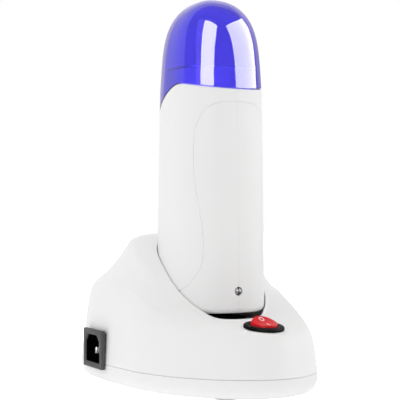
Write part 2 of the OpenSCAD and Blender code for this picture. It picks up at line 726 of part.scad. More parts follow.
module collar_skin() {
    angles = [for (i = [0:sides - 1]) 360 * i / sides];
    loft(concat(
        [[for (t = angles) cap_point(t, collar_top_z - collar_deck, collar_inset + collar_wall)]],
        [for (share = [collar_inner_share, 0])
            [for (t = angles) cap_point(t, collar_level(share), collar_inset + collar_wall)]],
        [for (share = collar_shares) [for (t = angles) cap_point(t, collar_level(share), collar_inset)]]));
}

module heating_chamber() color("#b8bcc2") at_handle() translate([0, chamber_y, 0]) difference() {
    union() {
        translate([0, 0, chamber_floor_z]) linear_extrude(collar_top_z - chamber_floor_z)
            chamber_shape(chamber_wall);
        translate([0, 0, collar_top_z]) linear_extrude(0.8) chamber_shape(chamber_wall + 0.9);
    }
    translate([0, 0, chamber_floor_z + chamber_wall]) linear_extrude(200) chamber_shape(0);
}

// ---- handle: connector, carrier and heaters ----

connector_w = 33;
connector_d = 23;
connector_h = 17;
connector_flange_inset = 7;
recess_gap = 0.6;
recess_h = 12;
pin_tip_z = handle_bottom_z + 2;
pin_tail = 1.5;
carrier_plate = 2.5;
carrier_rim = 6;
carrier_rim_wall = 1.4;
flat_w = chamber_w - 2 * chamber_round;
plate_w = flat_w - 2;
plate_h = 44;
plate_t = 2.4;
plate_z = chamber_floor_z + 18;
sheet_t = 0.4;
sheet_margin = 2;
spring_t = 0.8;
spring_w = flat_w / 2;
spring_gap = 2.2;
cutout_d = 4;
cutout_len = 16;
cutout_rise = 10;
lead_x = 14;
lead_y = chamber_d / 2 + 5;

module handle_connector() color(black) at_handle() difference() {
    union() {
        translate([0, 0, handle_bottom_z + 0.4]) linear_extrude(connector_h)
            rounded_rect(connector_w, connector_d, 3);
        translate([0, 0, handle_bottom_z + shell_wall]) linear_extrude(2)
            polygon([for (i = [0:sides - 1])
                grip_oval(360 * i / sides, -connector_flange_inset)]);
    }
    translate([0, 0, handle_bottom_z - 1]) linear_extrude(recess_h + 1)
        rounded_rect(dock_w + 2 * recess_gap, dock_d + 2 * recess_gap, 3 + recess_gap);
    for (x = [-1, 1]) translate([x * pin_pitch / 2, 0, handle_bottom_z]) cylinder(d = pin_d, h = 40);
    for (p = grip_screw_spots) translate([-handle_half_w, p[0], p[1]]) rotate([0, 90, 0])
        cylinder(d = grip_boss_d + 0.6, h = 2 * handle_half_w);
}

module handle_pins() color("#c8a046") at_handle() for (x = [-1, 1])
    translate([x * pin_pitch / 2, 0, pin_tip_z]) {
        cylinder(d = pin_d, h = handle_bottom_z + 0.4 + connector_h + pin_tail - pin_tip_z);
        sphere(d = pin_d);
    }

module chamber_carrier() color("#e7e4da") at_handle() difference() {
    union() {
        translate([0, 0, chamber_floor_z - carrier_plate]) linear_extrude(carrier_plate)
            polygon([for (i = [0:sides - 1])
                grip_oval(360 * i / sides, -shell_wall - 0.3, handle_scale(chamber_floor_z))]);
        translate([0, chamber_y, chamber_floor_z]) linear_extrude(carrier_rim)
            chamber_shape(chamber_wall + 0.2 + carrier_rim_wall);
    }
    translate([0, chamber_y, chamber_floor_z]) linear_extrude(50) chamber_shape(chamber_wall + 0.1);
    for (y = [-1, 1]) translate([lead_x, chamber_y + y * lead_y, 0]) cylinder(d = 5, h = 100);
    for (p = grip_screw_spots) translate([-handle_half_w, p[0], p[1]]) rotate([0, 90, 0])
        cylinder(d = grip_boss_d + 0.6, h = 2 * handle_half_w);
}

module on_both_faces() translate([0, chamber_y, 0]) for (side = [-1, 1])
    mirror([0, side < 0 ? 1 : 0, 0]) translate([0, chamber_d / 2 + chamber_wall, 0]) children();

module insulation_sheets() color("#d8b98a") at_handle() on_both_faces()
    translate([-flat_w / 2, 0, plate_z - sheet_margin]) cube([flat_w, sheet_t, plate_h + 2 * sheet_margin]);

module heater_plates() color("#8d6f5c") at_handle() on_both_faces()
    translate([-plate_w / 2, sheet_t, plate_z]) cube([plate_w, plate_t, plate_h]);

module clamp_springs() color("#a7abb0") at_handle() on_both_faces()
    translate([-spring_w / 2, sheet_t + plate_t, plate_z + plate_h / 2]) rotate([0, 90, 0])
        linear_extrude(spring_w) polygon(concat(
            [for (i = [-6:6]) [i * plate_h / 15, spring_bow(i / 6)]],
            [for (i = [6:-1:-6]) [i * plate_h / 15, spring_bow(i / 6) + spring_t]]));
function spring_bow(u) = spring_gap * (1 - cos(360 * u)) / 2;

module thermal_cutout() color("#c9ccd1") at_handle()
    translate([-cutout_len / 2, chamber_y - chamber_d / 2 - chamber_wall - cutout_d / 2 - 0.1,
               plate_z + plate_h + cutout_rise])
        rotate([0, 90, 0]) cylinder(d = cutout_d, h = cutout_len);

module handle_leads() at_handle() for (side = [-1, 1]) {
    from = [side * pin_pitch / 2, 0, handle_bottom_z + 0.4 + connector_h + pin_tail];
    hole = [lead_x, chamber_y + side * lead_y, from[2] + 3];
    color(side > 0 ? "#7a4a2a" : "#3c64b4") tube(concat(
        [from], arc_path(from + [0, side * 1, 1.4], [hole[0], hole[1], from[2]], hole, 6),
        [at_z(hole, chamber_floor_z + 2), [hole[0] - 4, hole[1], plate_z - 2]]), 1.6);
}

// ---- cap ----

cap_foot_z = handle_top_z + 8.6;
cap_draft = 0.108;
cap_fullness = 4.47;
cap_roundness = 1.96;
cap_skirt = [0, 0.35, 0.7];
cap_bands = 11;
crown_flat = 0.02;

// The cap's section at height z, as a share of the handle's, under a crown at the given height.
function cap_scale(z, crown) =
    let (v = min(max((z - handle_top_z) / (crown - handle_top_z), 0), 1))
    z <= handle_top_z ? handle_scale(z)
    : handle_scale(handle_top_z) * (1 - cap_draft * v) * pow(1 - pow(v, cap_fullness), 1 / cap_roundness);
function cap_point(t, z, inset, crown = cap_top_z) =
    let (s = cap_scale(z, crown), share = min(s / handle_scale(handle_top_z), 1),
         k = 1 - inset * share / (handle_half_w * s))
    at_z(grip_oval(t, 0, s) * k, z);
function cap_profile(t, inset) =
    let (foot = edge_at(t) + cap_gap, crown = cap_top_z - inset)
    concat(
        [for (w = cap_skirt) cap_point(t, foot + (cap_foot_z - foot) * w, inset, crown)],
        [for (k = [0:cap_bands])
            let (rise = (crown - crown_flat - cap_foot_z) * pow(sin(90 * k / cap_bands), 0.9))
            cap_point(t, cap_foot_z + rise, inset, crown)]);

module cap() color([0.27, 0.24, 0.86, 0.7]) at_handle() {
    angles = [for (i = [0:sides - 1]) 360 * i / sides];
    outer = [for (t = angles) cap_profile(t, 0)];
    inner = [for (t = angles) cap_profile(t, cap_wall)];
    count = len(outer[0]);
    loft(concat(
        [for (k = [count - 1:-1:0]) [for (p = inner) p[k]]],
        [for (k = [0:count - 1]) [for (p = outer) p[k]]]));
}

base_housing();
base_tray();
rubber_feet();
base_screws();
inlet_housing();
inlet_pins();
switch_bezel();
switch_terminals();
switch_rocker();
dock_block();
dock_sleeves();
dock_screws();
base_leads();
handle_shell_left();
handle_shell_right();
handle_screws();
indicator_lamp();
lamp_board();
handle_connector();
handle_pins();
handle_leads();
chamber_collar();
heating_chamber();
chamber_carrier();
heater_plates();
insulation_sheets();
clamp_springs();
thermal_cutout();
cap();
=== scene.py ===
"""Looks of a roll-on wax heater that stands in its mains base.

Sizes are in millimetres and every mesh is made in metres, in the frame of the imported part: Z is up, the
switch looks toward -Y and the mains inlet is on the -X side.
"""

import logging
import math
from collections.abc import Callable, Iterator
from contextlib import contextmanager
from dataclasses import dataclass, field
from enum import Enum

import bmesh
import bpy
import numpy as np
from mathutils import Matrix, Quaternion, Vector


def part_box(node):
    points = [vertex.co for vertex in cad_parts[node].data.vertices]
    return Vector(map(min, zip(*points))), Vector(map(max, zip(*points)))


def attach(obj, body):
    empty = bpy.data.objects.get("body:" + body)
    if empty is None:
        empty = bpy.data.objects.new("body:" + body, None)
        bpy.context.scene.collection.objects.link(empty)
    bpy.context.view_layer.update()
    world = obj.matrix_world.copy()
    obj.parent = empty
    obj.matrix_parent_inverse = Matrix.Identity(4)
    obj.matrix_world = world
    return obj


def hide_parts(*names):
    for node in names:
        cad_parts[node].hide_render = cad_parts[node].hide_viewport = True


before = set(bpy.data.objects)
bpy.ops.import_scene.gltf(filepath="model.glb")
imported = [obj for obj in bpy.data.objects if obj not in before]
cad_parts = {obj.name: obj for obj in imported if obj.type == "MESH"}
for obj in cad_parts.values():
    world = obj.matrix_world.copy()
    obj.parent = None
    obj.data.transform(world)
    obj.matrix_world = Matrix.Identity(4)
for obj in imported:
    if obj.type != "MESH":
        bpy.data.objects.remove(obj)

MM = 0.001
LOG = logging.getLogger("wax_heater")
Rings = list[np.ndarray]


class Body(Enum):
    """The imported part's moving bodies."""

    BASE = "base"
    ROCKER = "rocker"
    HANDLE = "handle"
    CAP = "cap_body"


class Element(Enum):
    """What a selection in edit mode picks."""

    VERTEX = "VERT"
    EDGE = "EDGE"
    FACE = "FACE"


# ---- numbers and curves ----


def signed_power(value: np.ndarray, power: np.ndarray | float) -> np.ndarray:
    """Raises the size of value to power and keeps its sign."""
    return np.sign(value) * np.abs(value) ** power


def soft_min(a: np.ndarray, b: np.ndarray | float, blend: float) -> np.ndarray:
    """The smaller of a and b, rounded over where they meet."""
    return (a + b - np.sqrt((a - b) ** 2 + blend**2)) / 2


def soft_max(a: np.ndarray, b: np.ndarray | float, blend: float) -> np.ndarray:
    """The larger of a and b, rounded over where they meet."""
    return (a + b + np.sqrt((a - b) ** 2 + blend**2)) / 2


def ease(share: np.ndarray) -> np.ndarray:
    """A share from 0 to 1, eased at both ends."""
    held = np.clip(share, 0, 1)
    return held**2 * (3 - 2 * held)


def at_height(plan: np.ndarray, z: np.ndarray | float) -> np.ndarray:
    """Lifts plan points (n, 2) to height z."""
    return np.column_stack([plan, np.broadcast_to(z, len(plan))])


def toward(a: np.ndarray, b: np.ndarray, reach: float) -> np.ndarray:
    """Points that lie reach from a on the way to b, at most half way."""
    length = np.linalg.norm(b - a, axis=1, keepdims=True)
    return a + (b - a) * np.minimum(reach / np.maximum(length, 1e-6), 0.5)


def bend(a: np.ndarray, b: np.ndarray, c: np.ndarray, steps: int) -> Rings:
    """Rings along the curve that leaves a toward b and arrives at c from b."""
    shares = np.linspace(0, 1, steps + 1)
    return [(1 - s) ** 2 * a + 2 * s * (1 - s) * b + s**2 * c for s in shares]


def between(a: np.ndarray, b: np.ndarray, steps: int) -> Rings:
    """Rings inside the straight stretch from a to b, without its ends."""
    return [a + (b - a) * k / steps for k in range(1, steps)]


@dataclass(frozen=True)
class Oval:
    """A closed section with a rounder front and a squarer rear.

    A higher exponent makes that half squarer.
    """

    half_w: float
    front: float
    rear: float
    front_n: float
    rear_n: float

    def ring(self, turns: np.ndarray, grow: float = 0.0, scale: np.ndarray | float = 1.0) -> np.ndarray:
        """The section's points.

        Args:
            turns: angles in radians, where minus a quarter turn is the front.
            grow: how far the section is drawn out on every side.
            scale: share of the full section, one number or one for each angle.

        Returns:
            Points (n, 2) about the section's axis.
        """
        ahead = np.sin(turns) < 0
        power = np.where(ahead, 2 / self.front_n, 2 / self.rear_n)
        reach = np.where(ahead, self.front, self.rear)
        x = (self.half_w * scale + grow) * signed_power(np.cos(turns), power)
        y = (reach * scale + grow) * signed_power(np.sin(turns), power)
        return np.column_stack([x, y])

    def even_turns(self, per_quarter: int) -> np.ndarray:
        """Angles that space points evenly along each quarter of the outline, once round from +X.

        Args:
            per_quarter: points on each quarter.

        Returns:
            The angles, in radians.
        """
        parts = []
        for quarter in range(4):
            fine = np.linspace(quarter, quarter + 1, 2001) * math.pi / 2
            steps = np.linalg.norm(np.diff(self.ring(fine), axis=0), axis=1)
            run = np.concatenate([[0], np.cumsum(steps)])
            parts.append(np.interp(np.linspace(0, run[-1], per_quarter + 1)[:-1], run, fine))
        return np.concatenate(parts)


# ---- meshes ----


def only(piece: bpy.types.Object) -> None:
    """Selects piece alone and makes it active.

    Args:
        piece: the object to work on.
    """
    bpy.ops.object.select_all(action="DESELECT")
    piece.select_set(True)
    bpy.context.view_layer.objects.active = piece


@contextmanager
def editing(piece: bpy.types.Object, element: Element = Element.EDGE) -> Iterator[bmesh.types.BMesh]:
    """Opens piece in edit mode with nothing selected.

    Args:
        piece: the object to work on.
        element: what selections pick.

    Yields:
        The open mesh.
    """
    only(piece)
    bpy.ops.object.mode_set(mode="EDIT")
    bpy.ops.mesh.select_mode(type=element.value)
    bpy.ops.mesh.select_all(action="DESELECT")
    yield bmesh.from_edit_mesh(piece.data)
    bpy.ops.object.mode_set(mode="OBJECT")


def pick(mesh: bmesh.types.BMesh, element: Element, test: Callable) -> None:
    """Selects the elements of an open mesh that pass test.

    Args:
        mesh: the open mesh.
        element: the kind that is selected.
        test: says whether an element is selected.
    """
    groups = {Element.VERTEX: mesh.verts, Element.EDGE: mesh.edges, Element.FACE: mesh.faces}
    for part in groups[element]:
        part.select_set(bool(test(part)))
    mesh.select_flush_mode()


def face_outwards(piece: bpy.types.Object) -> None:
    """Merges doubled points and turns every face outwards.

    Args:
        piece: the object to work on.
    """
    with editing(piece, Element.VERTEX):
        bpy.ops.mesh.select_all(action="SELECT")
        bpy.ops.mesh.remove_doubles(threshold=1e-7)
        bpy.ops.mesh.normals_make_consistent(inside=False)


def apply_modifiers(piece: bpy.types.Object) -> None:
    """Applies piece's modifiers in their order.

    Args:
        piece: the object to work on.
    """
    only(piece)
    for modifier in list(piece.modifiers):
        bpy.ops.object.modifier_apply(modifier=modifier.name)


def settle(piece: bpy.types.Object, matrix: Matrix | None = None) -> bpy.types.Object:
    """Moves the object's place, and then matrix, into its mesh.

    Args:
        piece: the object to work on.
        matrix: a move in metres that follows the object's own place.

    Returns:
        The same object, now at the origin.
    """
    only(piece)
    bpy.ops.object.transform_apply(location=True, rotation=True, scale=True)
    if matrix is not None:
        piece.data.transform(matrix)
    return piece


def soften(piece: bpy.types.Object, width: float, segments: int = 2, angle: float = 35) -> None:
    """Rounds the edges that are sharper than angle, in degrees, by width.

    Args:
        piece: the object to work on.
        width: the rounding's width in millimetres.
        segments: facets across the rounding.
        angle: the sharpest edge that stays, in degrees.
    """
    bevel = piece.modifiers.new("soft edges", "BEVEL")
    bevel.width = width * MM
    bevel.segments = segments
    bevel.limit_method = "ANGLE"
    bevel.angle_limit = math.radians(angle)
    apply_modifiers(piece)


def smooth(piece: bpy.types.Object, angle: float = 32) -> None:
    """Shades piece smooth, apart from edges sharper than angle, in degrees."""
    only(piece)
    bpy.ops.object.shade_smooth_by_angle(angle=math.radians(angle))


def combine(piece: bpy.types.Object, tool: bpy.types.Object, how: str = "DIFFERENCE") -> None:
    """Cuts tool from piece, or joins or crosses them, and removes tool.

    Args:
        piece: the object to work on.
        tool: the object that is used up.
        how: DIFFERENCE, UNION or INTERSECT.
    """
    boolean = piece.modifiers.new("combine", "BOOLEAN")
    boolean.operation = how
    boolean.solver = "EXACT"
    boolean.object = tool
    apply_modifiers(piece)
    bpy.data.objects.remove(tool)


def skin(name: str, rings: Rings | np.ndarray) -> bpy.types.Object:
    """A closed skin through rings of equal length, with a flat face at each end.

    Args:
        name: the new piece's name.
        rings: arrays of points (n, 3) in millimetres, one after another.

    Returns:
        The new object, at the origin.
    """
    stack = np.stack(rings)
    count, around = stack.shape[:2]
    here, ahead = np.meshgrid(np.arange(count - 1), np.arange(around), indexing="ij")
    beside = (ahead + 1) % around
    low, high = here * around, (here + 1) * around
    quads = np.stack([low + ahead, low + beside, high + beside, high + ahead], axis=-1).reshape(-1, 4)
    ends = [list(range(around))[::-1], list(range((count - 1) * around, count * around))]
    mesh = bpy.data.meshes.new(name)
    mesh.from_pydata((stack.reshape(-1, 3) * MM).tolist(), [], quads.tolist() + ends)
    piece = bpy.data.objects.new(name, mesh)
    bpy.context.scene.collection.objects.link(piece)
    face_outwards(piece)
    return piece


def rounded_plan(w: float, d: float, r: float, steps: int = 8) -> np.ndarray:
    """The outline (n, 2) of a w by d rectangle with corners of radius r.

    Args:
        w: width along X.
        d: depth along Y.
        r: the corners' radius.
        steps: chords in each corner.

    Returns:
        The points, in millimetres.
    """
    corners = [(1, 1, 0), (-1, 1, 90), (-1, -1, 180), (1, -1, 270)]
    points = []
    for x, y, start in corners:
        for k in range(steps + 1):
            a = math.radians(start + 90 * k / steps)
            points.append((x * (w / 2 - r) + r * math.cos(a), y * (d / 2 - r) + r * math.sin(a)))
    return np.array(points)


def prism(name: str, plan: np.ndarray, low: float, high: float) -> bpy.types.Object:
    """An upright prism on an outline (n, 2), from height low to high."""
    return skin(name, [at_height(plan, low), at_height(plan, high)])


def cylinder(name: str, d: float, low: float, high: float, at: tuple[float, float] = (0, 0),
             sides: int = 64) -> bpy.types.Object:
    """An upright cylinder of diameter d from height low to high, in millimetres.

    Args:
        name: the new piece's name.
        d: diameter.
        low: height of its foot.
        high: height of its top.
        at: its axis, X and Y.
        sides: facets round it.

    Returns:
        The new object, at the origin.
    """
    bpy.ops.object.select_all(action="DESELECT")
    bpy.ops.mesh.primitive_cylinder_add(
        vertices=sides, radius=d / 2 * MM, depth=(high - low) * MM,
        location=(at[0] * MM, at[1] * MM, (low + high) / 2 * MM))
    piece = bpy.context.object
    piece.name = piece.data.name = name
    return settle(piece)


def block(name: str, low: tuple, high: tuple) -> bpy.types.Object:
    """A box between two corners, in millimetres.

    Args:
        name: the new piece's name.
        low: the lowest corner.
        high: the highest corner.

    Returns:
        The new object, at the origin.
    """
    bpy.ops.object.select_all(action="DESELECT")
    bpy.ops.mesh.primitive_cube_add(size=1, location=[(a + b) / 2 * MM for a, b in zip(low, high)])
    piece = bpy.context.object
    piece.name = piece.data.name = name
    piece.scale = [(b - a) * MM for a, b in zip(low, high)]
    return settle(piece)


def join(pieces: list[bpy.types.Object], name: str) -> bpy.types.Object:
    """Joins pieces into the first one and names it.

    Args:
        pieces: at least two objects.
        name: the joined piece's name.

    Returns:
        The first object, which now holds them all.
    """
    only(pieces[0])
    for piece in pieces:
        piece.select_set(True)
    bpy.ops.object.join()
    pieces[0].name = pieces[0].data.name = name
    return pieces[0]


def box_mm(node: str) -> tuple[Vector, Vector]:
    """A CAD node's lowest and highest corners, in millimetres."""
    low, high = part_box(node)
    return low / MM, high / MM


# ---- node work ----


class Board:
    """Places nodes in a tree and wires them."""

    def __init__(self, tree: bpy.types.NodeTree) -> None:
        """Starts on an empty tree."""
        self.tree = tree
        tree.nodes.clear()

    def add(self, kind: str, inputs: dict | None = None, **settings: object) -> bpy.types.Node:
        """Adds a node.

        Args:
            kind: Blender's name of the node type.
            inputs: socket name or number, with a value or another node's output.
            settings: the node's own properties.

        Returns:
            The new node.
        """
        node = self.tree.nodes.new(kind)
        for name, value in settings.items():
            setattr(node, name, value)
        for name, value in (inputs or {}).items():
            if isinstance(value, bpy.types.NodeSocket):
                self.tree.links.new(value, node.inputs[name])
            else:
                node.inputs[name].default_value = value
        return node

    def math(self, how: str, a: object, b: object = 0.0, c: object = 0.0,
             clamp: bool = False) -> bpy.types.NodeSocket:
        """The result of a Math node on a, b and, where it takes a third, c."""
        return self.add("ShaderNodeMath", {0: a, 1: b, 2: c}, operation=how, use_clamp=clamp).outputs[0]

    def noise(self, vector: object, scale: float, detail: float = 2.0,
              rough: float = 0.5) -> bpy.types.NodeSocket:
        """The grey value of a Noise node."""
        values = {"Vector": vector, "Scale": scale, "Detail": detail, "Roughness": rough}
        return self.add("ShaderNodeTexNoise", values).outputs[0]

    def span(self, value: object, low: float, high: float, to_low: float = 0.0,
             to_high: float = 1.0) -> bpy.types.NodeSocket:
        """Value carried from low..high to to_low..to_high, and held inside it."""
        sockets = {"Value": value, "From Min": low, "From Max": high, "To Min": to_low, "To Max": to_high}
        return self.add("ShaderNodeMapRange", sockets).outputs[0]

    def tint(self, share: object, a: tuple, b: tuple) -> bpy.types.NodeSocket:
        """The colour between a and b at share."""
        return self.blend(share, (*a, 1), (*b, 1))

    def blend(self, share: object, a: object, b: object) -> bpy.types.NodeSocket:
        """The colour between two colours or colour outputs.

        Args:
            share: 0 for a, 1 for b.
            a: a colour with alpha, or an output.
            b: a colour with alpha, or an output.

        Returns:
            The mixed colour's output.
        """
        node = self.add("ShaderNodeMix", data_type="RGBA")
        for socket, value in ((node.inputs[0], share), (node.inputs[6], a), (node.inputs[7], b)):
            if isinstance(value, bpy.types.NodeSocket):
                self.tree.links.new(value, socket)
            else:
                socket.default_value = value
        return node.outputs[2]


class Patterns:
    """Node groups that several finishes share, each built on first use."""

    @staticmethod
    def _group(name: str, inputs: dict[str, float],
               outputs: list[str]) -> tuple[bpy.types.NodeTree, Board, dict]:
        """A new group with float sockets, its board and its inputs by name.

        Args:
            name: the group's name.
            inputs: each input's name and default.
            outputs: the outputs' names.

        Returns:
            The group's tree, its board and its input sockets by name.
        """
        tree = bpy.data.node_groups.new(name, "ShaderNodeTree")
        for label, value in inputs.items():
            socket = tree.interface.new_socket(label, in_out="INPUT", socket_type="NodeSocketFloat")
            socket.default_value = value
        for label in outputs:
            tree.interface.new_socket(label, in_out="OUTPUT", socket_type="NodeSocketFloat")
        board = Board(tree)
        entry = board.add("NodeGroupInput")
        return tree, board, {label: entry.outputs[label] for label in inputs}

    @classmethod
    def moulded(cls) -> bpy.types.NodeTree:
        """Moulded plastic: the fine pebble of the tool's skin, slow tone drift and patchy gloss.

        Returns:
            The group, with the outputs Height, Tone and Gloss.
        """
        name = "moulded_surface"
        if name in bpy.data.node_groups:
            return bpy.data.node_groups[name]
        tree, board, entry = cls._group(name, {"Pebble": 1500.0}, ["Height", "Tone", "Gloss"])
        place = board.add("ShaderNodeTexCoord").outputs["Object"]
        pebble = board.add(
            "ShaderNodeTexVoronoi", {"Vector": place, "Scale": entry["Pebble"], "Randomness": 1.0},
            feature="SMOOTH_F1")
        ripple = board.noise(place, 160.0, 3.0)
        height = board.math("ADD", pebble.outputs["Distance"], board.math("MULTIPLY", ripple, 0.6))
        tone = board.span(board.noise(place, 22.0, 4.0, 0.55), 0.3, 0.7)
        gloss = board.span(board.noise(place, 95.0, 5.0, 0.6), 0.3, 0.7)
        board.add("NodeGroupOutput", {"Height": height, "Tone": tone, "Gloss": gloss})
        return tree

    @classmethod
    def handling(cls) -> bpy.types.NodeTree:
        """Hairline marks from handling, in two directions.

        Returns:
            The group, with the output Mask.
        """
        name = "handling_marks"
        if name in bpy.data.node_groups:
            return bpy.data.node_groups[name]
        tree, board, entry = cls._group(name, {"Threshold": 0.7}, ["Mask"])
        place = board.add("ShaderNodeTexCoord").outputs["Object"]
        masks = []
        for turn, stretch in ((0.5, (900, 30, 60)), (1.9, (40, 1000, 35))):
            lane = board.add("ShaderNodeMapping", {
                "Vector": place, "Rotation": (turn, 0.3, turn), "Scale": stretch})
            lines = board.noise(lane.outputs[0], 1.0, 1.0)
            patch = board.span(board.noise(place, 30.0 + 10 * turn, 2.0), 0.45, 0.6)
            sharp = board.math("GREATER_THAN", lines, entry["Threshold"])
            masks.append(board.math("MULTIPLY", sharp, patch))
        board.add("NodeGroupOutput", {"Mask": board.math("MAXIMUM", *masks)})
        return tree

    @classmethod
    def dust(cls) -> bpy.types.NodeTree:
        """Fine dust that settles on what looks up.

        Returns:
            The group, with the output Mask.
        """
        name = "settled_dust"
        if name in bpy.data.node_groups:
            return bpy.data.node_groups[name]
        tree, board, entry = cls._group(name, {"Amount": 0.1}, ["Mask"])
        normal = board.add("ShaderNodeNewGeometry").outputs["Normal"]
        up = board.add("ShaderNodeSeparateXYZ", {0: normal}).outputs["Z"]
        place = board.add("ShaderNodeTexCoord").outputs["Object"]
        specks = board.span(board.noise(place, 700.0, 3.0, 0.7), 0.45, 0.75)
        lying = board.math("MULTIPLY", board.span(up, 0.55, 1.0), specks)
        board.add("NodeGroupOutput", {"Mask": board.math("MULTIPLY", lying, entry["Amount"])})
        return tree

    @classmethod
    def drawn_lines(cls) -> bpy.types.NodeTree:
        """Fine lines that drawing, turning or brushing leaves on metal.

        Returns:
            The group, with the outputs Height and Gloss.
        """
        name = "drawn_lines"
        if name in bpy.data.node_groups:
            return bpy.data.node_groups[name]
        tree, board, entry = cls._group(name, {"Across": 1600.0, "Along": 60.0}, ["Height", "Gloss"])
        place = board.add("ShaderNodeTexCoord").outputs["Object"]
        stretch = board.add("ShaderNodeCombineXYZ", {
            0: entry["Across"], 1: entry["Across"], 2: entry["Along"]})
        lane = board.add("ShaderNodeVectorMath", {0: place, 1: stretch.outputs[0]}, operation="MULTIPLY")
        lines = board.noise(lane.outputs[0], 1.0, 3.0, 0.6)
        stain = board.span(board.noise(place, 120.0, 4.0, 0.6), 0.35, 0.7)
        board.add("NodeGroupOutput", {"Height": lines, "Gloss": stain})
        return tree


def new_material(name: str) -> tuple[bpy.types.Material, Board]:
    """An empty material and the board of its nodes.

    Args:
        name: the material's name.

    Returns:
        The material and its board.
    """
    material = bpy.data.materials.new(name)
    material.use_nodes = True
    return material, Board(material.node_tree)


@dataclass(frozen=True)
class MouldedPlastic:
    """Opaque moulded plastic or rubber: its pebble, tone drift, hairline marks and dust."""

    name: str
    colour: tuple[float, float, float]
    roughness: float
    specular: float = 0.4
    pebble: float = 1500.0
    depth: float = 0.012
    drift: float = 0.02
    patchy: float = 0.05
    marks: float = 0.06
    dust: float = 0.05
    dust_colour: tuple[float, float, float] = (0.62, 0.6, 0.56)
    dust_dulling: float = 0.5

    def build(self) -> bpy.types.Material:
        """The finished material.

        Returns:
            The new material.
        """
        material, board = new_material(self.name)
        surface = board.add("ShaderNodeGroup", node_tree=Patterns.moulded())
        surface.inputs["Pebble"].default_value = self.pebble
        marks = board.add("ShaderNodeGroup", node_tree=Patterns.handling())
        dust = board.add("ShaderNodeGroup", node_tree=Patterns.dust())
        dust.inputs["Amount"].default_value = self.dust
        deep = tuple(c * (1 - self.drift) for c in self.colour)
        colour = board.tint(surface.outputs["Tone"], deep, self.colour)
        colour = board.blend(dust.outputs["Mask"], colour, (*self.dust_colour, 1))
        gloss = board.span(surface.outputs["Gloss"], 0, 1, self.roughness - self.patchy,
                           self.roughness + self.patchy)
        gloss = board.math("ADD", gloss, board.math("MULTIPLY", marks.outputs["Mask"], self.marks))
        dulled = board.math("MULTIPLY", dust.outputs["Mask"], self.dust_dulling)
        gloss = board.math("ADD", gloss, dulled, clamp=True)
        bump = board.add("ShaderNodeBump", {
            "Height": surface.outputs["Height"], "Distance": self.depth * MM, "Strength": 1.0})
        shader = board.add("ShaderNodeBsdfPrincipled", {
            "Base Color": colour, "Roughness": gloss, "Normal": bump.outputs[0],
            "Specular IOR Level": self.specular})
        board.add("ShaderNodeOutputMaterial", {"Surface": shader.outputs[0]})
        return material


@dataclass(frozen=True)
class ClearPlastic:
    """See-through plastic: tinted, polished, with a faint ripple and a few hairline marks.

    Where rim is given, the tint deepens to it toward the edges, where the wall is looked through aslant.
    """

    name: str
    colour: tuple[float, float, float]
    roughness: float = 0.02
    ior: float = 1.5
    drift: float = 0.03
    pebble: float = 60.0
    ripple: float = 0.004
    marks: float = 0.04
    mark_threshold: float = 0.74
    rim: tuple[float, float, float] | None = None
    rim_slant: tuple[float, float] = (0.42, 0.76)

    def build(self) -> bpy.types.Material:
        """The finished material.

        Returns:
            The new material.
        """
        material, board = new_material(self.name)
        surface = board.add("ShaderNodeGroup", node_tree=Patterns.moulded())
        surface.inputs["Pebble"].default_value = self.pebble
        marks = board.add("ShaderNodeGroup", node_tree=Patterns.handling())
        marks.inputs["Threshold"].default_value = self.mark_threshold
        deep = tuple(c * (1 - self.drift) for c in self.colour)
        gloss = board.span(surface.outputs["Gloss"], 0, 1, self.roughness * 0.6, self.roughness * 1.4)
        gloss = board.math("ADD", gloss, board.math("MULTIPLY", marks.outputs["Mask"], self.marks))
        bump = board.add("ShaderNodeBump", {
            "Height": surface.outputs["Height"], "Distance": self.ripple * MM})
        colour = board.tint(surface.outputs["Tone"], deep, self.colour)
        if self.rim:
            slant = board.add("ShaderNodeLayerWeight", {"Blend": 0.5}).outputs["Facing"]
            colour = board.blend(board.span(slant, *self.rim_slant), colour, (*self.rim, 1))
        shader = board.add("ShaderNodeBsdfPrincipled", {
            "Base Color": colour, "Roughness": gloss,
            "Normal": bump.outputs[0], "IOR": self.ior, "Transmission Weight": 1.0})
        board.add("ShaderNodeOutputMaterial", {"Surface": shader.outputs[0]})
        return material


@dataclass(frozen=True)
class WorkedMetal:
    """Drawn, turned or plated metal with its lines and slight stain."""

    name: str
    colour: tuple[float, float, float]
    roughness: float
    across: float = 1600.0
    along: float = 60.0
    depth: float = 0.006
    stain: float = 0.14
    marks: float = 0.12

    def build(self) -> bpy.types.Material:
        """The finished material.

        Returns:
            The new material.
        """
        material, board = new_material(self.name)
        lines = board.add("ShaderNodeGroup", node_tree=Patterns.drawn_lines())
        lines.inputs["Across"].default_value = self.across
        lines.inputs["Along"].default_value = self.along
        marks = board.add("ShaderNodeGroup", node_tree=Patterns.handling())
        dull = tuple(c * (1 - self.stain) for c in self.colour)
        gloss = board.span(lines.outputs["Gloss"], 0, 1, self.roughness * 0.8, self.roughness * 1.3)
        scratched = board.math("MULTIPLY", marks.outputs["Mask"], self.marks)
        gloss = board.math("ADD", gloss, scratched, clamp=True)
        bump = board.add("ShaderNodeBump", {"Height": lines.outputs["Height"], "Distance": self.depth * MM})
        shader = board.add("ShaderNodeBsdfPrincipled", {
            "Base Color": board.tint(lines.outputs["Gloss"], self.colour, dull), "Metallic": 1.0,
            "Roughness": gloss, "Normal": bump.outputs[0]})
        board.add("ShaderNodeOutputMaterial", {"Surface": shader.outputs[0]})
        return material


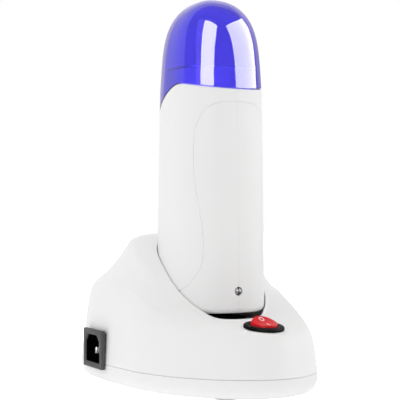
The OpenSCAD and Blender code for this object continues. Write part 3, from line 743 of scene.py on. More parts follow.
FINISHES = {finish.name: finish for finish in (
    MouldedPlastic("white_shell", (0.83, 0.83, 0.827), 0.55, specular=0.035, drift=0.012, dust=0.02),
    MouldedPlastic("white_inner", (0.8, 0.8, 0.79), 0.55, specular=0.07, drift=0.015, dust=0.02),
    ClearPlastic("blue_cap", (0.22, 0.185, 0.85), rim=(0.14, 0.1, 0.38)),
    MouldedPlastic("black_plastic", (0.006, 0.006, 0.007), 0.45, specular=0.02, depth=0.02, drift=0.25,
                   dust=0.06),
    MouldedPlastic("black_flange", (0.085, 0.085, 0.086), 0.5, specular=0.08, depth=0.02, drift=0.2,
                   dust=0.06),
    # near-black, unglossy copy of the inlet's black plastic for the socket's lining: painted shade inside the
    # socket
    MouldedPlastic("black_socket_painted_shade", (0.002, 0.002, 0.0022), 0.6, specular=0.0, drift=0.2, dust=0.0),
    MouldedPlastic("red_rocker", (0.7, 0.008, 0.014), 0.3, specular=0.05, depth=0.004, drift=0.08,
                   patchy=0.04, dust=0.02),
    MouldedPlastic("white_mark", (0.9, 0.87, 0.86), 0.4, specular=0.2, depth=0.01, drift=0.05),
    ClearPlastic("clear_lamp", (0.66, 0.67, 0.69), roughness=0.2, ior=1.45),
    MouldedPlastic("rubber", (0.6, 0.6, 0.59), 0.75, specular=0.2, pebble=900.0, depth=0.05, drift=0.1,
                   dust=0.2),
    # darker and rougher than the nickel finish of the same plating: painted shade on the blades, which sit
    # deep in the socket
    WorkedMetal("blade", (0.46, 0.46, 0.45), 0.4, along=900.0),
    WorkedMetal("lamp_cup", (0.55, 0.55, 0.56), 0.5),
    WorkedMetal("steel", (0.58, 0.58, 0.6), 0.3),
    WorkedMetal("nickel", (0.72, 0.71, 0.69), 0.22, along=900.0),
    WorkedMetal("brass", (0.78, 0.55, 0.2), 0.28, across=900.0, stain=0.2),
    WorkedMetal("aluminium", (0.8, 0.8, 0.82), 0.36, along=40.0),
    MouldedPlastic("lead", (0.2, 0.09, 0.035), 0.45, depth=0.02, drift=0.1),
    MouldedPlastic("board", (0.03, 0.17, 0.06), 0.35, pebble=2600.0, depth=0.02, drift=0.25),
    MouldedPlastic("ceramic", (0.33, 0.22, 0.16), 0.7, specular=0.3, depth=0.03, drift=0.12),
    MouldedPlastic("film", (0.6, 0.32, 0.08), 0.25, depth=0.008, drift=0.15),
)}


class Workshop:
    """Hands out finishes and puts finished pieces on their bodies."""

    def __init__(self) -> None:
        """Starts with no material built."""
        self.built: dict[str, bpy.types.Material] = {}

    def finish(self, name: str) -> bpy.types.Material:
        """The material of that finish, built on first use.

        Args:
            name: one of the names in FINISHES.

        Returns:
            The material.
        """
        if name not in self.built:
            self.built[name] = FINISHES[name].build()
        return self.built[name]

    def fit(self, piece: bpy.types.Object, body: Body, finish: str,
            stands_for: tuple[str, ...] = ()) -> None:
        """Dresses a piece, puts it on its body and reports it.

        Args:
            piece: the finished mesh.
            body: the body that it moves with.
            finish: the finish's name.
            stands_for: the CAD nodes that it replaces.
        """
        piece.data.materials.clear()
        piece.data.materials.append(self.finish(finish))
        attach(piece, body.value)
        if stands_for:
            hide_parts(*stands_for)
        LOG.info("%s: %d faces on %s", piece.name, len(piece.data.polygons), body.value)

    def dress(self, node: str, finish: str) -> None:
        """Gives a CAD node that stays its finish.

        Args:
            node: the node's name.
            finish: the finish's name, which is also its slot.
        """
        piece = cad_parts[node]
        piece.data.materials.clear()
        piece.data.materials.append(self.finish(finish))
        LOG.info("%s: packed node, %s", node, finish)


# ---- the handle's form ----


@dataclass(frozen=True)
class Grip:
    """The handle's section, its taper and the swept edge where the cap meets it."""

    axis_x: float
    axis_y: float
    oval: Oval = Oval(29.4, 31.2, 28.2, 2.4, 3.0)
    bottom_z: float = 42.6
    top_z: float = 172.8
    taper: float = 0.0475
    taper_power: float = 1.5
    edge_slope: float = 0.2
    tongue_start: float = 14.0
    tongue_depth: float = 29.0
    edge_rise: float = 4.2
    edge_blend: float = 1.2

    @classmethod
    def from_frame(cls) -> "Grip":
        """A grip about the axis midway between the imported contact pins."""
        low, high = box_mm("handle_pins")
        return cls((low.x + high.x) / 2, (low.y + high.y) / 2)

    def scale(self, z: np.ndarray | float) -> np.ndarray:
        """The section's share of its full size at height z."""
        share = np.maximum(np.asarray(z, float) - self.bottom_z, 0) / (self.top_z - self.bottom_z)
        return 1 - self.taper * share**self.taper_power

    def edge_z(self, y: np.ndarray) -> np.ndarray:
        """Height of the shells' top edge at y from the axis.

        Args:
            y: distances behind the axis, in millimetres.

        Returns:
            The heights.
        """
        rear_top = self.top_z + self.edge_rise
        fall = self.tongue_depth / (self.tongue_start + self.oval.rear) ** 2
        rise = self.top_z + self.edge_slope * (self.oval.front + y)
        tongue = rear_top - fall * np.maximum(self.tongue_start + y, 0) ** 2
        return soft_min(rise, tongue, self.edge_blend)

    def edge_at(self, turns: np.ndarray) -> np.ndarray:
        """Height of the shells' top edge at each angle."""
        return self.edge_z(self.oval.ring(turns, scale=self.scale(self.top_z))[:, 1])

    def at(self, turns: np.ndarray, z: np.ndarray | float, inset: float = 0.0) -> np.ndarray:
        """Points of the skin at height z, drawn in by inset."""
        return self.place(at_height(self.oval.ring(turns, -inset, self.scale(z)), z))

    def place(self, points: np.ndarray) -> np.ndarray:
        """Moves points from the axis to their place in the frame."""
        return points + np.array([self.axis_x, self.axis_y, 0])

    def front_point(self, w: float, z: float) -> np.ndarray:
        """The skin's point in front, at w beside the parting line and height z.

        Args:
            w: distance from the parting line toward +X, in millimetres.
            z: height.

        Returns:
            The point (3,) in the frame.
        """
        s = float(self.scale(z))
        share = min(abs(w) / (self.oval.half_w * s), 1.0)
        y = -self.oval.front * s * (1 - share**self.oval.front_n) ** (1 / self.oval.front_n)
        return self.place(np.array([[w, y, z]]))[0]


@dataclass
class HandleShells:
    """The two white half shells, with the lamp's hole, the panel line and the screw seats."""

    grip: Grip
    wall: float = 2.2
    opening: float = 0.66
    foot_lift: float = 1.6
    foot_rise: float = 3.4
    foot_inset: float = 3.0
    inner_rise: float = 4.0
    inner_inset: float = 4.4
    edge_round: float = 0.45
    parting_round: float = 0.16
    lamp_d: float = 5.2
    lamp_z: float = 56.8
    lamp_hole: tuple[float, float] = (2.0, 12.0)
    lamp_rim: tuple[float, float] = (1.0, 2.05)
    screw_seat_d: float = 6.0
    screw_seat_x: float = 12.0
    screw_y: float = 17.0
    screw_rise: float = 10.8
    line_half_w: float = 23.5
    line_waist_w: float = 19.6
    line_waist_z: float = 80.4
    line_shoulder_z: float = 129.4
    line_top: float = 36.2
    line_depth: float = 0.42
    line_arch_power: float = 0.533
    line_flare: float = 0.0155
    line_foot_rise: float = 12.8

    def build(self, shop: Workshop) -> None:
        """Makes both shells and fits them.

        Args:
            shop: where finishes and bodies come from.
        """
        for side, node in ((-1, "handle_shell_left"), (1, "handle_shell_right")):
            shell = self._half(side, node.replace("handle_", ""))
            self._ease_parting_edges(shell)
            combine(shell, self._panel_line_tool(side))
            combine(shell, self._lamp_tool())
            if side > 0:
                combine(shell, self._screw_tool())
            smooth(shell)
            shop.fit(shell, Body.HANDLE, "white_shell", stands_for=(node,))

    def _half(self, side: int, name: str) -> bpy.types.Object:
        """One half shell, swept round from the rear to the front as wall sections.

        Args:
            side: -1 for the left half, 1 for the right.
            name: the new piece's name.

        Returns:
            The plain shell.
        """
        grip = self.grip
        quarters = grip.oval.even_turns(52)
        turns = np.append(quarters[52:156], 1.5 * math.pi)
        outside = self._outside(turns)
        inside = self._inside(turns)
        sections = np.stack(outside + inside[::-1]).transpose(1, 0, 2)
        if side > 0:
            sections = sections.copy()
            sections[..., 0] = 2 * grip.axis_x - sections[..., 0]
        return skin(name, sections)

    def _outside(self, turns: np.ndarray) -> Rings:
        """Rings of the outer skin, from the bottom opening up to the top edge.

        Args:
            turns: angles in radians, once round from +X.

        Returns:
            The rings.
        """
        grip, foot = self.grip, self.grip.bottom_z + self.foot_lift
        rings = [grip.place(at_height(grip.oval.ring(turns, scale=self.opening), foot))]
        for k in range(11):
            a = math.radians(90 * k / 10)
            rise, inset = self.foot_rise * (1 - math.cos(a)), self.foot_inset * (1 - math.sin(a))
            rings.append(grip.at(turns, foot + rise, inset))
        top = grip.edge_at(turns)
        low = foot + self.foot_rise
        rings += [grip.at(turns, low + (top - self.edge_round - low) * k / 60) for k in range(1, 61)]
        for k in (1, 2, 3):
            a = math.radians(30 * k)
            rings.append(grip.at(turns, top - self.edge_round * (1 - math.sin(a)),
                                 self.edge_round * (1 - math.cos(a))))
        return rings

    def _inside(self, turns: np.ndarray) -> Rings:
        """Rings of the inner skin, from the bottom opening up to the top edge.

        Args:
            turns: angles in radians, once round from +X.

        Returns:
            The rings.
        """
        grip, floor = self.grip, self.grip.bottom_z + self.foot_lift + self.wall
        rings = [grip.place(at_height(grip.oval.ring(turns, scale=self.opening), floor))]
        for k in range(5):
            a = math.radians(90 * k / 4)
            rise, inset = self.inner_rise * (1 - math.cos(a)), self.inner_inset * (1 - math.sin(a))
            rings.append(grip.at(turns, floor + rise, self.wall + inset))
        low, top = floor + self.inner_rise, grip.edge_at(turns)
        rings += [grip.at(turns, low + (top - low) * k / 16, self.wall) for k in range(1, 17)]
        return rings

    def _ease_parting_edges(self, shell: bpy.types.Object) -> None:
        """Rounds the outer edges along the parting plane, which draw the line down the handle.

        Args:
            shell: one half.
        """
        plane = self.grip.axis_x * MM
        with editing(shell) as mesh:
            pick(mesh, Element.EDGE, lambda edge: all(abs(v.co.x - plane) < 1e-7 for v in edge.verts))
            bpy.ops.mesh.bevel(offset=self.parting_round * MM, segments=2, affect="EDGES")

    def _panel_path(self) -> list[tuple[float, float]]:
        """The panel line's half width and height, from the top of its arch down to the side's foot.

        Returns:
            Half widths from the parting line, each with its height.
        """
        arch = [math.radians(a) for a in np.linspace(90, 0, 41)]
        power = self.line_arch_power
        path = [(self.line_half_w * abs(math.cos(a)) ** power,
                 self.line_shoulder_z + self.line_top * math.sin(a) ** power) for a in arch]
        drop = self.line_shoulder_z - self.line_waist_z
        for k in range(1, 15):
            share = 1 - k / 14
            swell = (self.line_half_w - self.line_waist_w) * (1 - math.cos(math.pi * share)) / 2
            path.append((self.line_waist_w + swell, self.line_waist_z + drop * share))
        for z in np.linspace(self.line_waist_z, self.grip.bottom_z + self.line_foot_rise, 13)[1:]:
            path.append((self.line_waist_w + self.line_flare * (self.line_waist_z - z) ** 2, float(z)))
        return path

    def _panel_line_tool(self, side: int) -> bpy.types.Object:
        """A thin four-sided tube that follows the panel line on one half.

        Args:
            side: -1 for the left half, 1 for the right.

        Returns:
            The tool.
        """
        points = [self.grip.front_point(side * w, z) for w, z in self._panel_path()]
        axis = self.grip.place(np.zeros((1, 3)))[0]
        rings = []
        for k, point in enumerate(points):
            along = points[min(k + 1, len(points) - 1)] - points[max(k - 1, 0)]
            along /= np.linalg.norm(along)
            outward = np.array([point[0] - axis[0], point[1] - axis[1], 0])
            outward -= along * (outward @ along)
            outward /= np.linalg.norm(outward)
            across = np.cross(along, outward)
            r = self.line_depth
            rings.append(np.array([point + r * v for v in (outward * 2, across, -outward, -across)]))
        rings[0] = rings[0] - np.array([side * 0.5, 0, 0])
        return skin("panel_line_tool", rings)

    def _lamp_tool(self) -> bpy.types.Object:
        """The lamp's hole, with a small rim chamfer.

        Returns:
            The tool.
        """
        grip = self.grip
        ahead, depth = self.lamp_hole
        wider, rim_depth = self.lamp_rim
        tool = cylinder("lamp_tool", self.lamp_d, 0, depth)
        combine(tool, cylinder("flare", self.lamp_d + wider, -1.0, rim_depth), "UNION")
        turn = Matrix.Rotation(math.radians(-90), 4, "X")
        spot = Vector((grip.axis_x, grip.axis_y - grip.oval.front - ahead, self.lamp_z)) * MM
        tool.data.transform(Matrix.Translation(spot) @ turn)
        return tool

    def _screw_tool(self) -> bpy.types.Object:
        """The two screw seats of the right shell.

        Returns:
            The tool.
        """
        grip = self.grip
        tools = []
        for y in (-self.screw_y, self.screw_y):
            tool = cylinder("seat", self.screw_seat_d, self.screw_seat_x, grip.oval.half_w + 4)
            spot = Vector((grip.axis_x, grip.axis_y + y, grip.bottom_z + self.screw_rise)) * MM
            tool.data.transform(Matrix.Translation(spot) @ Matrix.Rotation(math.radians(90), 4, "Y"))
            tools.append(tool)
        return join(tools, "screw_tool")


@dataclass
class Cap:
    """The see-through cap: a drafted, domed shell whose tongue fills the handle's rear cut-out."""

    grip: Grip
    wall: float = 1.8
    gap: float = 0.4
    crown_z: float = 228.37
    draft: float = 0.108
    fullness: float = 4.47
    roundness: float = 1.96
    edge_round: float = 0.35
    dome_start: float = 8.6
    dome_spacing: float = 0.9

    def build(self, shop: Workshop) -> None:
        """Makes the cap and fits it.

        Args:
            shop: where finishes and bodies come from.
        """
        turns = self.grip.oval.even_turns(48)
        outside = self._skin_rings(turns, 0.0)
        inside = self._skin_rings(turns, self.wall)
        piece = skin("cap_shell", inside[::-1] + outside)
        smooth(piece, 40)
        shop.fit(piece, Body.CAP, "blue_cap", stands_for=("cap",))

    def scale(self, z: np.ndarray, crown: float) -> np.ndarray:
        """The section's share of its full size at height z, under a crown at that height.

        Args:
            z: heights.
            crown: height of the crown.

        Returns:
            The shares.
        """
        top = self.grip.top_z
        share = np.clip((np.asarray(z, float) - top) / (crown - top), 0, 1)
        dome = (1 - self.draft * share) * (1 - share**self.fullness) ** (1 / self.roundness)
        return np.where(np.asarray(z) <= top, self.grip.scale(z), self.grip.scale(top) * dome)

    def _skin_rings(self, turns: np.ndarray, inset: float) -> Rings:
        """Rings from the foot to the crown, of the outer skin or of the inner one.

        Args:
            turns: angles in radians, once round from +X.
            inset: 0 for the outer skin, the wall for the inner one.

        Returns:
            The rings.
        """
        grip = self.grip
        foot = grip.edge_at(turns) + self.gap
        crown = self.crown_z - inset
        edge = self.edge_round
        inward = edge if inset == 0 else -edge
        low, start = foot + edge, grip.top_z + self.dome_start
        rings = [self.ring(turns, foot, inset + inward, crown), self.ring(turns, low, inset, crown)]
        rings += [self.ring(turns, low + (start - low) * k / 16, inset, crown) for k in range(1, 17)]
        for k in range(1, 49):
            a = math.pi / 2 * k / 48
            z = start + (crown - start) * math.sin(a) ** self.dome_spacing
            rings.append(self.ring(turns, min(z, crown - 1e-4), inset, crown))
        return rings

    def ring(self, turns: np.ndarray, z: np.ndarray | float, inset: float, crown: float = 0) -> np.ndarray:
        """One ring at height z under a crown, drawn in by inset less as it nears the crown.

        Args:
            turns: angles in radians, once round from +X.
            z: one height, or one for each angle.
            inset: how far the ring is drawn in.
            crown: height of the crown, or 0 for the cap's own.

        Returns:
            The ring (n, 3) in the frame.
        """
        grip = self.grip
        size = self.scale(np.broadcast_to(z, len(turns)), crown or self.crown_z)
        share = size / grip.scale(grip.top_z)
        drawn = 1 - inset * np.minimum(share, 1) / (grip.oval.half_w * size)
        return grip.place(at_height(grip.oval.ring(turns, 0.0, size) * drawn[:, None], z))


@dataclass
class Collar:
    """The white collar that the cap slides over, round the chamber's mouth."""

    cap: Cap
    inset: float = 2.45
    wall: float = 1.6
    deck: float = 2.0
    mouth_w: float = 47.4
    mouth_d: float = 35.4
    mouth_r: float = 11.7
    mouth_y: float = -1.5
    edge_round: float = 1.1
    rim_fall: float = 0.01

    def build(self, shop: Workshop) -> None:
        """Makes the collar and fits it.

        Args:
            shop: where finishes and bodies come from.
        """
        low, high = box_mm("chamber_collar")
        cap, grip, thick = self.cap, self.cap.grip, self.inset + self.wall
        turns = grip.oval.even_turns(48)
        fall = self.rim_fall * (grip.oval.front + grip.oval.ring(turns)[:, 1])
        top = high.z - self.edge_round - fall
        outside = [cap.ring(turns, low.z + (top - low.z) * k / 24, self.inset) for k in range(25)]
        for k in (1, 2, 3, 4):
            a = math.radians(22.5 * k)
            outside.append(cap.ring(turns, top + self.edge_round * math.sin(a),
                                    self.inset + self.edge_round * (1 - math.cos(a))))
        inside = [cap.ring(turns, z, thick) for z in (high.z - self.deck - fall, (low.z + high.z) / 2, low.z)]
        piece = skin("collar", inside + outside)
        plan = rounded_plan(self.mouth_w, self.mouth_d, self.mouth_r, 12) + np.array([0, self.mouth_y])
        plan = plan + np.array([grip.axis_x, grip.axis_y])
        combine(piece, prism("mouth_tool", plan, low.z - 10, high.z + 10))
        smooth(piece)
        shop.fit(piece, Body.HANDLE, "white_inner", stands_for=("chamber_collar",))


@dataclass
class Lamp:
    """The clear indicator lamp with the cup and post that show through it."""

    grip: Grip
    d: float = 5.0
    flange_t: float = 1.0
    flange_share: float = 1.16
    cup_d: float = 2.2
    cup_rim: float = 0.25
    cup_depth: float = 0.6
    cup_back: float = 1.2
    cup_foot: float = -1.0
    cup_top: float = 0.2
    cup_narrowing: float = 0.5
    post: tuple = ((1.25, -0.25, -1.0), (1.65, 0.25, 0.5))

    def build(self, shop: Workshop) -> None:
        """Makes the lens, the cup and the post and fits them.

        Args:
            shop: where finishes and bodies come from.
        """
        low, high = box_mm("indicator_lamp")
        centre = Vector((self.grip.axis_x, low.y + self.d / 2, (low.z + high.z) / 2))
        lens = self._lens(centre, high.y)
        smooth(lens, 50)
        shop.fit(lens, Body.HANDLE, "clear_lamp", stands_for=("indicator_lamp",))
        cup = self._cup(centre)
        smooth(cup, 40)
        shop.fit(cup, Body.HANDLE, "lamp_cup")

    def _lens(self, centre: Vector, back_y: float) -> bpy.types.Object:
        """A dome on a short round body with a flange at its back.

        Args:
            centre: the dome's centre, in millimetres.
            back_y: where the flange ends.

        Returns:
            The lens.
        """
        bpy.ops.object.select_all(action="DESELECT")
        bpy.ops.mesh.primitive_uv_sphere_add(segments=48, ring_count=24, radius=self.d / 2 * MM)
        lens = bpy.context.object
        lens.name = lens.data.name = "lamp_lens"
        with editing(lens) as mesh:
            bpy.ops.mesh.select_all(action="SELECT")
            bpy.ops.mesh.bisect(plane_co=(0, 0, 0), plane_no=(0, 0, 1), clear_inner=True, use_fill=False)
            pick(mesh, Element.EDGE, lambda edge: all(abs(v.co.z) < 1e-7 for v in edge.verts))
            body = (back_y - self.flange_t - centre.y) * MM
            bpy.ops.mesh.extrude_edges_move(TRANSFORM_OT_translate={"value": (0, 0, -body)})
            bpy.ops.mesh.extrude_edges_move(TRANSFORM_OT_translate={"value": (0, 0, 0)})
            grow = (self.flange_share, self.flange_share, 1)
            bpy.ops.transform.resize(value=grow, center_override=(0, 0, -body))
            bpy.ops.mesh.extrude_edges_move(TRANSFORM_OT_translate={"value": (0, 0, -self.flange_t * MM)})
            bpy.ops.mesh.edge_face_add()
        turn = Matrix.Rotation(math.radians(90), 4, "X")
        settle(lens, Matrix.Translation(centre * MM) @ turn)
        face_outwards(lens)
        return lens

    def _cup(self, centre: Vector) -> bpy.types.Object:
        """The small metal cup and the post beside it.

        Args:
            centre: the dome's centre, in millimetres.

        Returns:
            The cup and the post as one object.
        """
        cup = cylinder("lamp_cup", self.cup_d, self.cup_foot, self.cup_top, sides=32)
        with editing(cup, Element.FACE) as mesh:
            pick(mesh, Element.FACE, lambda face: face.normal.z > 0.9)
            bpy.ops.mesh.inset(thickness=self.cup_rim * MM)
            bpy.ops.mesh.extrude_region_move(TRANSFORM_OT_translate={"value": (0, 0, -self.cup_depth * MM)})
            floor = (self.cup_top - self.cup_depth) * MM
            bpy.ops.transform.resize(value=(self.cup_narrowing, self.cup_narrowing, 1),
                                     center_override=(0, 0, floor))
        piece = join([cup, block("post", *self.post)], "lamp_cup")
        spot = centre + Vector((0, self.cup_back, 0))
        return settle(piece, Matrix.Translation(spot * MM) @ Matrix.Rotation(math.radians(90), 4, "X"))


# ---- the base ----


@dataclass
class BaseMouldings:
    """The white housing and its tray.

    The housing runs from the seam up over the shoulder to the ramp, and down into the cradle.
    """

    grip: Grip
    oval: Oval = Oval(55.7, 78.1, 100.0, 1.92, 3.8)
    wall: float = 2.4
    seam_z: float = 11.6
    seam_gap: float = 0.14
    seam_ease: float = 0.3
    tray_lift: float = 0.8
    tray_floor: float = 2.5
    shoulder_inset: float = 2.6
    shoulder_rear_inset: float = 8.0
    shoulder_front: float = 73.5
    shoulder_rear_z: float = 55.6
    shoulder_start: float = 0.77
    crest_z: float = 90.5
    crest_start: float = 29.0
    ramp_blend: float = 2.0
    crest_blend: float = 6.0
    lip_z: float = 41.2
    deck_fall: float = 0.14
    cradle_floor_z: float = 37.4
    cradle_gap: float = 0.2
    cradle_front_gap: float = 0.9
    cradle_fillet: float = 1.2
    flank_hollow: float = 1.14
    hollow_from: float = -40.0
    hollow_run: float = 80.0
    neck_near: float = 1.6
    neck_far: float = 14.2
    neck_from: float = -18.2
    neck_to: float = 19.4
    neck_drop: float = 3.2
    wall_round: float = 12.5
    shoulder_round: float = 6.5
    neck_round: float = 3.0
    inner_rounds: tuple[float, float, float] = (11.0, 6.0, 3.0)
    rim_round: float = 0.8
    rim_round_front: float = 2.4
    rim_grow_from: float = 25.0
    rim_grow_run: float = 6.0
    rim_wall: float = 1.7
    neck_clear: float = 0.8
    tray_round: tuple[float, float] = (6.2, 9.0)
    tray_lip_h: float = 1.5
    tray_lip_t: float = 1.3
    tray_fillet: float = 1.2
    well_d: float = 6.2
    well_depth: float = 3.0
    recess_d: float = 14.4
    recess_depth: float = 1.5
    switch_front: float = 57.5
    switch_hole_d: float = 20.2
    inlet_sunk: float = 0.9
    inlet_rear: float = 44.0
    inlet_z: float = 20.2
    inlet_turn: float = 175.0
    inlet_hole: tuple[float, float] = (27.5, 20.1)
    inlet_recess: tuple[float, float] = (31.3, 23.3)
    boss_spots: tuple = ((38, -30), (-38, -30), (40, 72), (-40, 72))
    foot_spots: tuple = ((22, -54), (-22, -54), (24, 76), (-24, 76))

    @property
    def lip_front(self) -> float:
        """Reach of the cradle's mouth in front of the axis."""
        return self.grip.oval.front + self.cradle_front_gap

    @property
    def cradle(self) -> Oval:
        """The cradle's mouth.

        Returns:
            The oval, about the handle's axis.
        """
        oval = self.grip.oval
        gap = self.cradle_gap
        return Oval(oval.half_w + gap, oval.front + self.cradle_front_gap, oval.rear + gap,
                    oval.front_n, oval.rear_n)

    def deck_z(self, y: np.ndarray | float) -> np.ndarray | float:
        """Height of the deck's plane at y from the axis."""
        return self.lip_z - self.deck_fall * (-y - self.lip_front)

    def crown_z(self, y: np.ndarray) -> np.ndarray:
        """Height of the top of the housing at y from the axis: deck, ramp and crest.

        Args:
            y: distances behind the axis.

        Returns:
            The heights.
        """
        slope = (self.crest_z - self.lip_z) / (self.lip_front + self.crest_start)
        ramp = self.lip_z + slope * (self.lip_front + y)
        return soft_min(soft_max(self.deck_z(y), ramp, self.ramp_blend), self.crest_z, self.crest_blend)

    def shoulder_z(self, y: np.ndarray) -> np.ndarray:
        """Height of the shoulder at y from the axis.

        Args:
            y: distances behind the axis.

        Returns:
            The heights.
        """
        start = self.shoulder_front * self.shoulder_start
        low = self.lip_z - self.deck_fall * (self.shoulder_front - self.lip_front)
        return low + (self.shoulder_rear_z - low) * ease((y + start) / (start + self.crest_start))

    def _rim_size(self, turns: np.ndarray) -> np.ndarray:
        """Radius of the rim's rounding, which grows toward the front.

        Args:
            turns: angles in radians, once round from +X.

        Returns:
            The radii.
        """
        y = self.cradle.ring(turns)[:, 1]
        ahead = ease((-self.rim_grow_from - y) / self.rim_grow_run)
        wide = self.rim_round + (self.rim_round_front - self.rim_round) * ahead
        return np.minimum(wide, self.crown_z(y) - self.cradle_floor_z - self.rim_wall)

    def _shoulder(self, turns: np.ndarray, inset: float) -> np.ndarray:
        """Points of the shoulder, before its rounding.

        Args:
            turns: angles in radians, once round from +X.
            inset: how far the skin is drawn in.

        Returns:
            The ring (n, 3) about the axis.
        """
        drawn = Oval(self.oval.half_w - self.shoulder_inset, self.shoulder_front,
                     self.oval.rear - self.shoulder_rear_inset, self.oval.front_n, self.oval.rear_n - 0.2)
        plan = drawn.ring(turns, -inset)
        return at_height(plan, self.shoulder_z(plan[:, 1]) - inset)

    def _neck(self, turns: np.ndarray, inset: float) -> np.ndarray:
        """Points of the neck, which leaves the rim beside the handle and runs wide of it round the rear.

        Args:
            turns: angles in radians, once round from +X.
            inset: how far the skin is drawn in.

        Returns:
            The ring (n, 3) about the axis.
        """
        y = self.cradle.ring(turns)[:, 1]
        grow = self.neck_near + (self.neck_far - self.neck_near) * ease(
            (y - self.neck_from) / (self.neck_to - self.neck_from))
        grow = np.maximum(grow, self._rim_size(turns) + self.neck_clear)
        plan = self.cradle.ring(turns, np.maximum(grow - inset / 2, inset + 0.4 if inset else 0))
        return at_height(plan, self.crown_z(plan[:, 1]) - self.neck_drop * np.cos(turns) ** 2 - inset)

    def _flank(self, turns: np.ndarray, high: np.ndarray, low: np.ndarray, steps: int) -> Rings:
        """Rings of the slightly hollow flank between shoulder and neck.

        Args:
            turns: angles in radians, once round from +X.
            high: the ring that the flank starts from.
            low: the ring that it ends at.
            steps: stretches between the two.

        Returns:
            The rings between them.
        """
        rise = np.clip((high[:, 1] - self.hollow_from) / self.hollow_run, 0, 1)[:, None]
        inward = np.column_stack([np.cos(turns), np.sin(turns), np.ones(len(turns))])
        pull = self.flank_hollow * rise * inward
        return [ring - pull * math.sin(math.pi * k / steps)
                for k, ring in enumerate(between(high, low, steps), 1)]

    def _outside(self, turns: np.ndarray) -> Rings:
        """Rings from the seam up, over the rim and down the cradle.

        Args:
            turns: angles in radians, once round from +X.

        Returns:
            The rings, about the axis.
        """
        seam_z = self.seam_z + self.seam_gap
        seam = at_height(self.oval.ring(turns), seam_z)
        shoulder, neck = self._shoulder(turns, 0), self._neck(turns, 0)
        r = self._rim_size(turns)
        rim_plan = self.cradle.ring(turns, r)
        rim = at_height(rim_plan, self.crown_z(rim_plan[:, 1]))
        low = toward(shoulder, seam, self.wall_round)
        high = toward(shoulder, neck, self.shoulder_round)
        neck_low = toward(neck, shoulder, self.neck_round)
        neck_high = toward(neck, rim, self.neck_round)
        start = seam + (low - seam) * 0.02
        rings = [at_height(self.oval.ring(turns, -self.seam_ease), seam_z), start, *between(start, low, 8)]
        rings += bend(low, shoulder, high, 14) + self._flank(turns, high, neck_low, 12)
        rings += bend(neck_low, neck, neck_high, 10) + between(neck_high, rim, 4) + [rim]
        for k in (1, 2, 3, 4):
            a = math.radians(22.5 * k)
            plan = self.cradle.ring(turns, r * (1 - math.sin(a)))
            rings.append(at_height(plan, rim[:, 2] - r * (1 - math.cos(a))))
        fillet = self.cradle_fillet
        foot = at_height(self.cradle.ring(turns), self.cradle_floor_z + fillet)
        rings += between(rings[-1], foot, 8)
        for k in range(4):
            a = math.radians(30 * k)
            rings.append(at_height(self.cradle.ring(turns, -fillet * (1 - math.cos(a))),
                                   self.cradle_floor_z + fillet * (1 - math.sin(a))))
        rings.append(at_height(self.cradle.ring(turns, scale=0.7), self.cradle_floor_z))
        return rings

    def _inside(self, turns: np.ndarray) -> Rings:
        """Rings of the inner skin, in the same order.

        Args:
            turns: angles in radians, once round from +X.

        Returns:
            The rings, about the axis.
        """
        t = self.wall
        seam = at_height(self.oval.ring(turns, -t), self.seam_z + self.seam_gap)
        shoulder, neck = self._shoulder(turns, t), self._neck(turns, t)
        rim_plan = self.cradle.ring(turns, t)
        rim = at_height(rim_plan, self.crown_z(rim_plan[:, 1]) - t)
        wall_round, shoulder_round, neck_round = self.inner_rounds
        high, neck_low = toward(shoulder, neck, shoulder_round), toward(neck, shoulder, neck_round)
        rings = [seam, *bend(toward(shoulder, seam, wall_round), shoulder, high, 3)]
        rings += self._flank(turns, high, neck_low, 3)
        rings += bend(neck_low, neck, toward(neck, rim, neck_round), 3) + [rim]
        rings.append(at_height(self.cradle.ring(turns, t), self.cradle_floor_z - t))
        return rings

    def build(self, shop: Workshop) -> None:
        """Makes the housing and the tray and fits them.

        Args:
            shop: where finishes and bodies come from.
        """
        turns = self.oval.even_turns(56)
        rings = self._inside(turns)[::-1] + self._outside(turns)
        housing = skin("housing_skin", [self.grip.place(ring) for ring in rings])
        combine(housing, self._switch_tool())
        combine(housing, self._inlet_tool())
        smooth(housing)
        shop.fit(housing, Body.BASE, "white_shell", stands_for=("base_housing",))
        tray = skin("tray_skin", [self.grip.place(ring) for ring in self._tray_rings(turns)])
        combine(tray, self._tray_tool())
        combine(tray, self._inlet_tool())
        smooth(tray)
        shop.fit(tray, Body.BASE, "white_shell", stands_for=("base_tray",))

    def _tray_rings(self, turns: np.ndarray) -> Rings:
        """Rings of the tray, from its underside up to the seam, over the lip and down inside.

        Args:
            turns: angles in radians, once round from +X.

        Returns:
            The rings, about the axis.
        """
        inset, rise = self.tray_round
        rings = []
        for k in range(13):
            a = math.radians(90 * k / 12)
            grow = -inset * (1 - math.sin(a)) ** 1.1
            z = self.tray_lift + (rise - self.seam_ease) * (1 - math.cos(a))
            rings.append(at_height(self.oval.ring(turns, grow), z))
        rings[-1][:, 2] = self.seam_z - self.seam_ease
        rings.append(at_height(self.oval.ring(turns, -self.seam_ease), self.seam_z))
        lip, top = self.wall + 0.25, self.seam_z + self.tray_lip_h
        back, floor = lip + self.tray_lip_t, self.tray_lift + self.tray_floor
        for inset, z in ((lip, self.seam_z), (lip, top), (back, top), (back, floor + self.tray_fillet),
                         (back + self.tray_fillet, floor)):
            rings.append(at_height(self.oval.ring(turns, -inset), z))
        return rings

    def _tray_tool(self) -> bpy.types.Object:
        """The screw wells and the foot recesses.

        Returns:
            The tool.
        """
        x, y, lift = self.grip.axis_x, self.grip.axis_y, self.tray_lift
        tools = [cylinder("well", self.well_d, -1, lift + self.well_depth, (x + a, y + b), 40)
                 for a, b in self.boss_spots]
        tools += [cylinder("recess", self.recess_d, -1, lift + self.recess_depth, (x + a, y + b), 48)
                  for a, b in self.foot_spots]
        return join(tools, "tray_tool")

    def switch_frame(self) -> Matrix:
        """The switch's place on the deck, with Z square to the deck.

        Returns:
            The matrix, in metres.
        """
        y = -self.switch_front
        spot = Vector((self.grip.axis_x, self.grip.axis_y + y, self.deck_z(y))) * MM
        return Matrix.Translation(spot) @ Matrix.Rotation(math.atan(self.deck_fall), 4, "X")

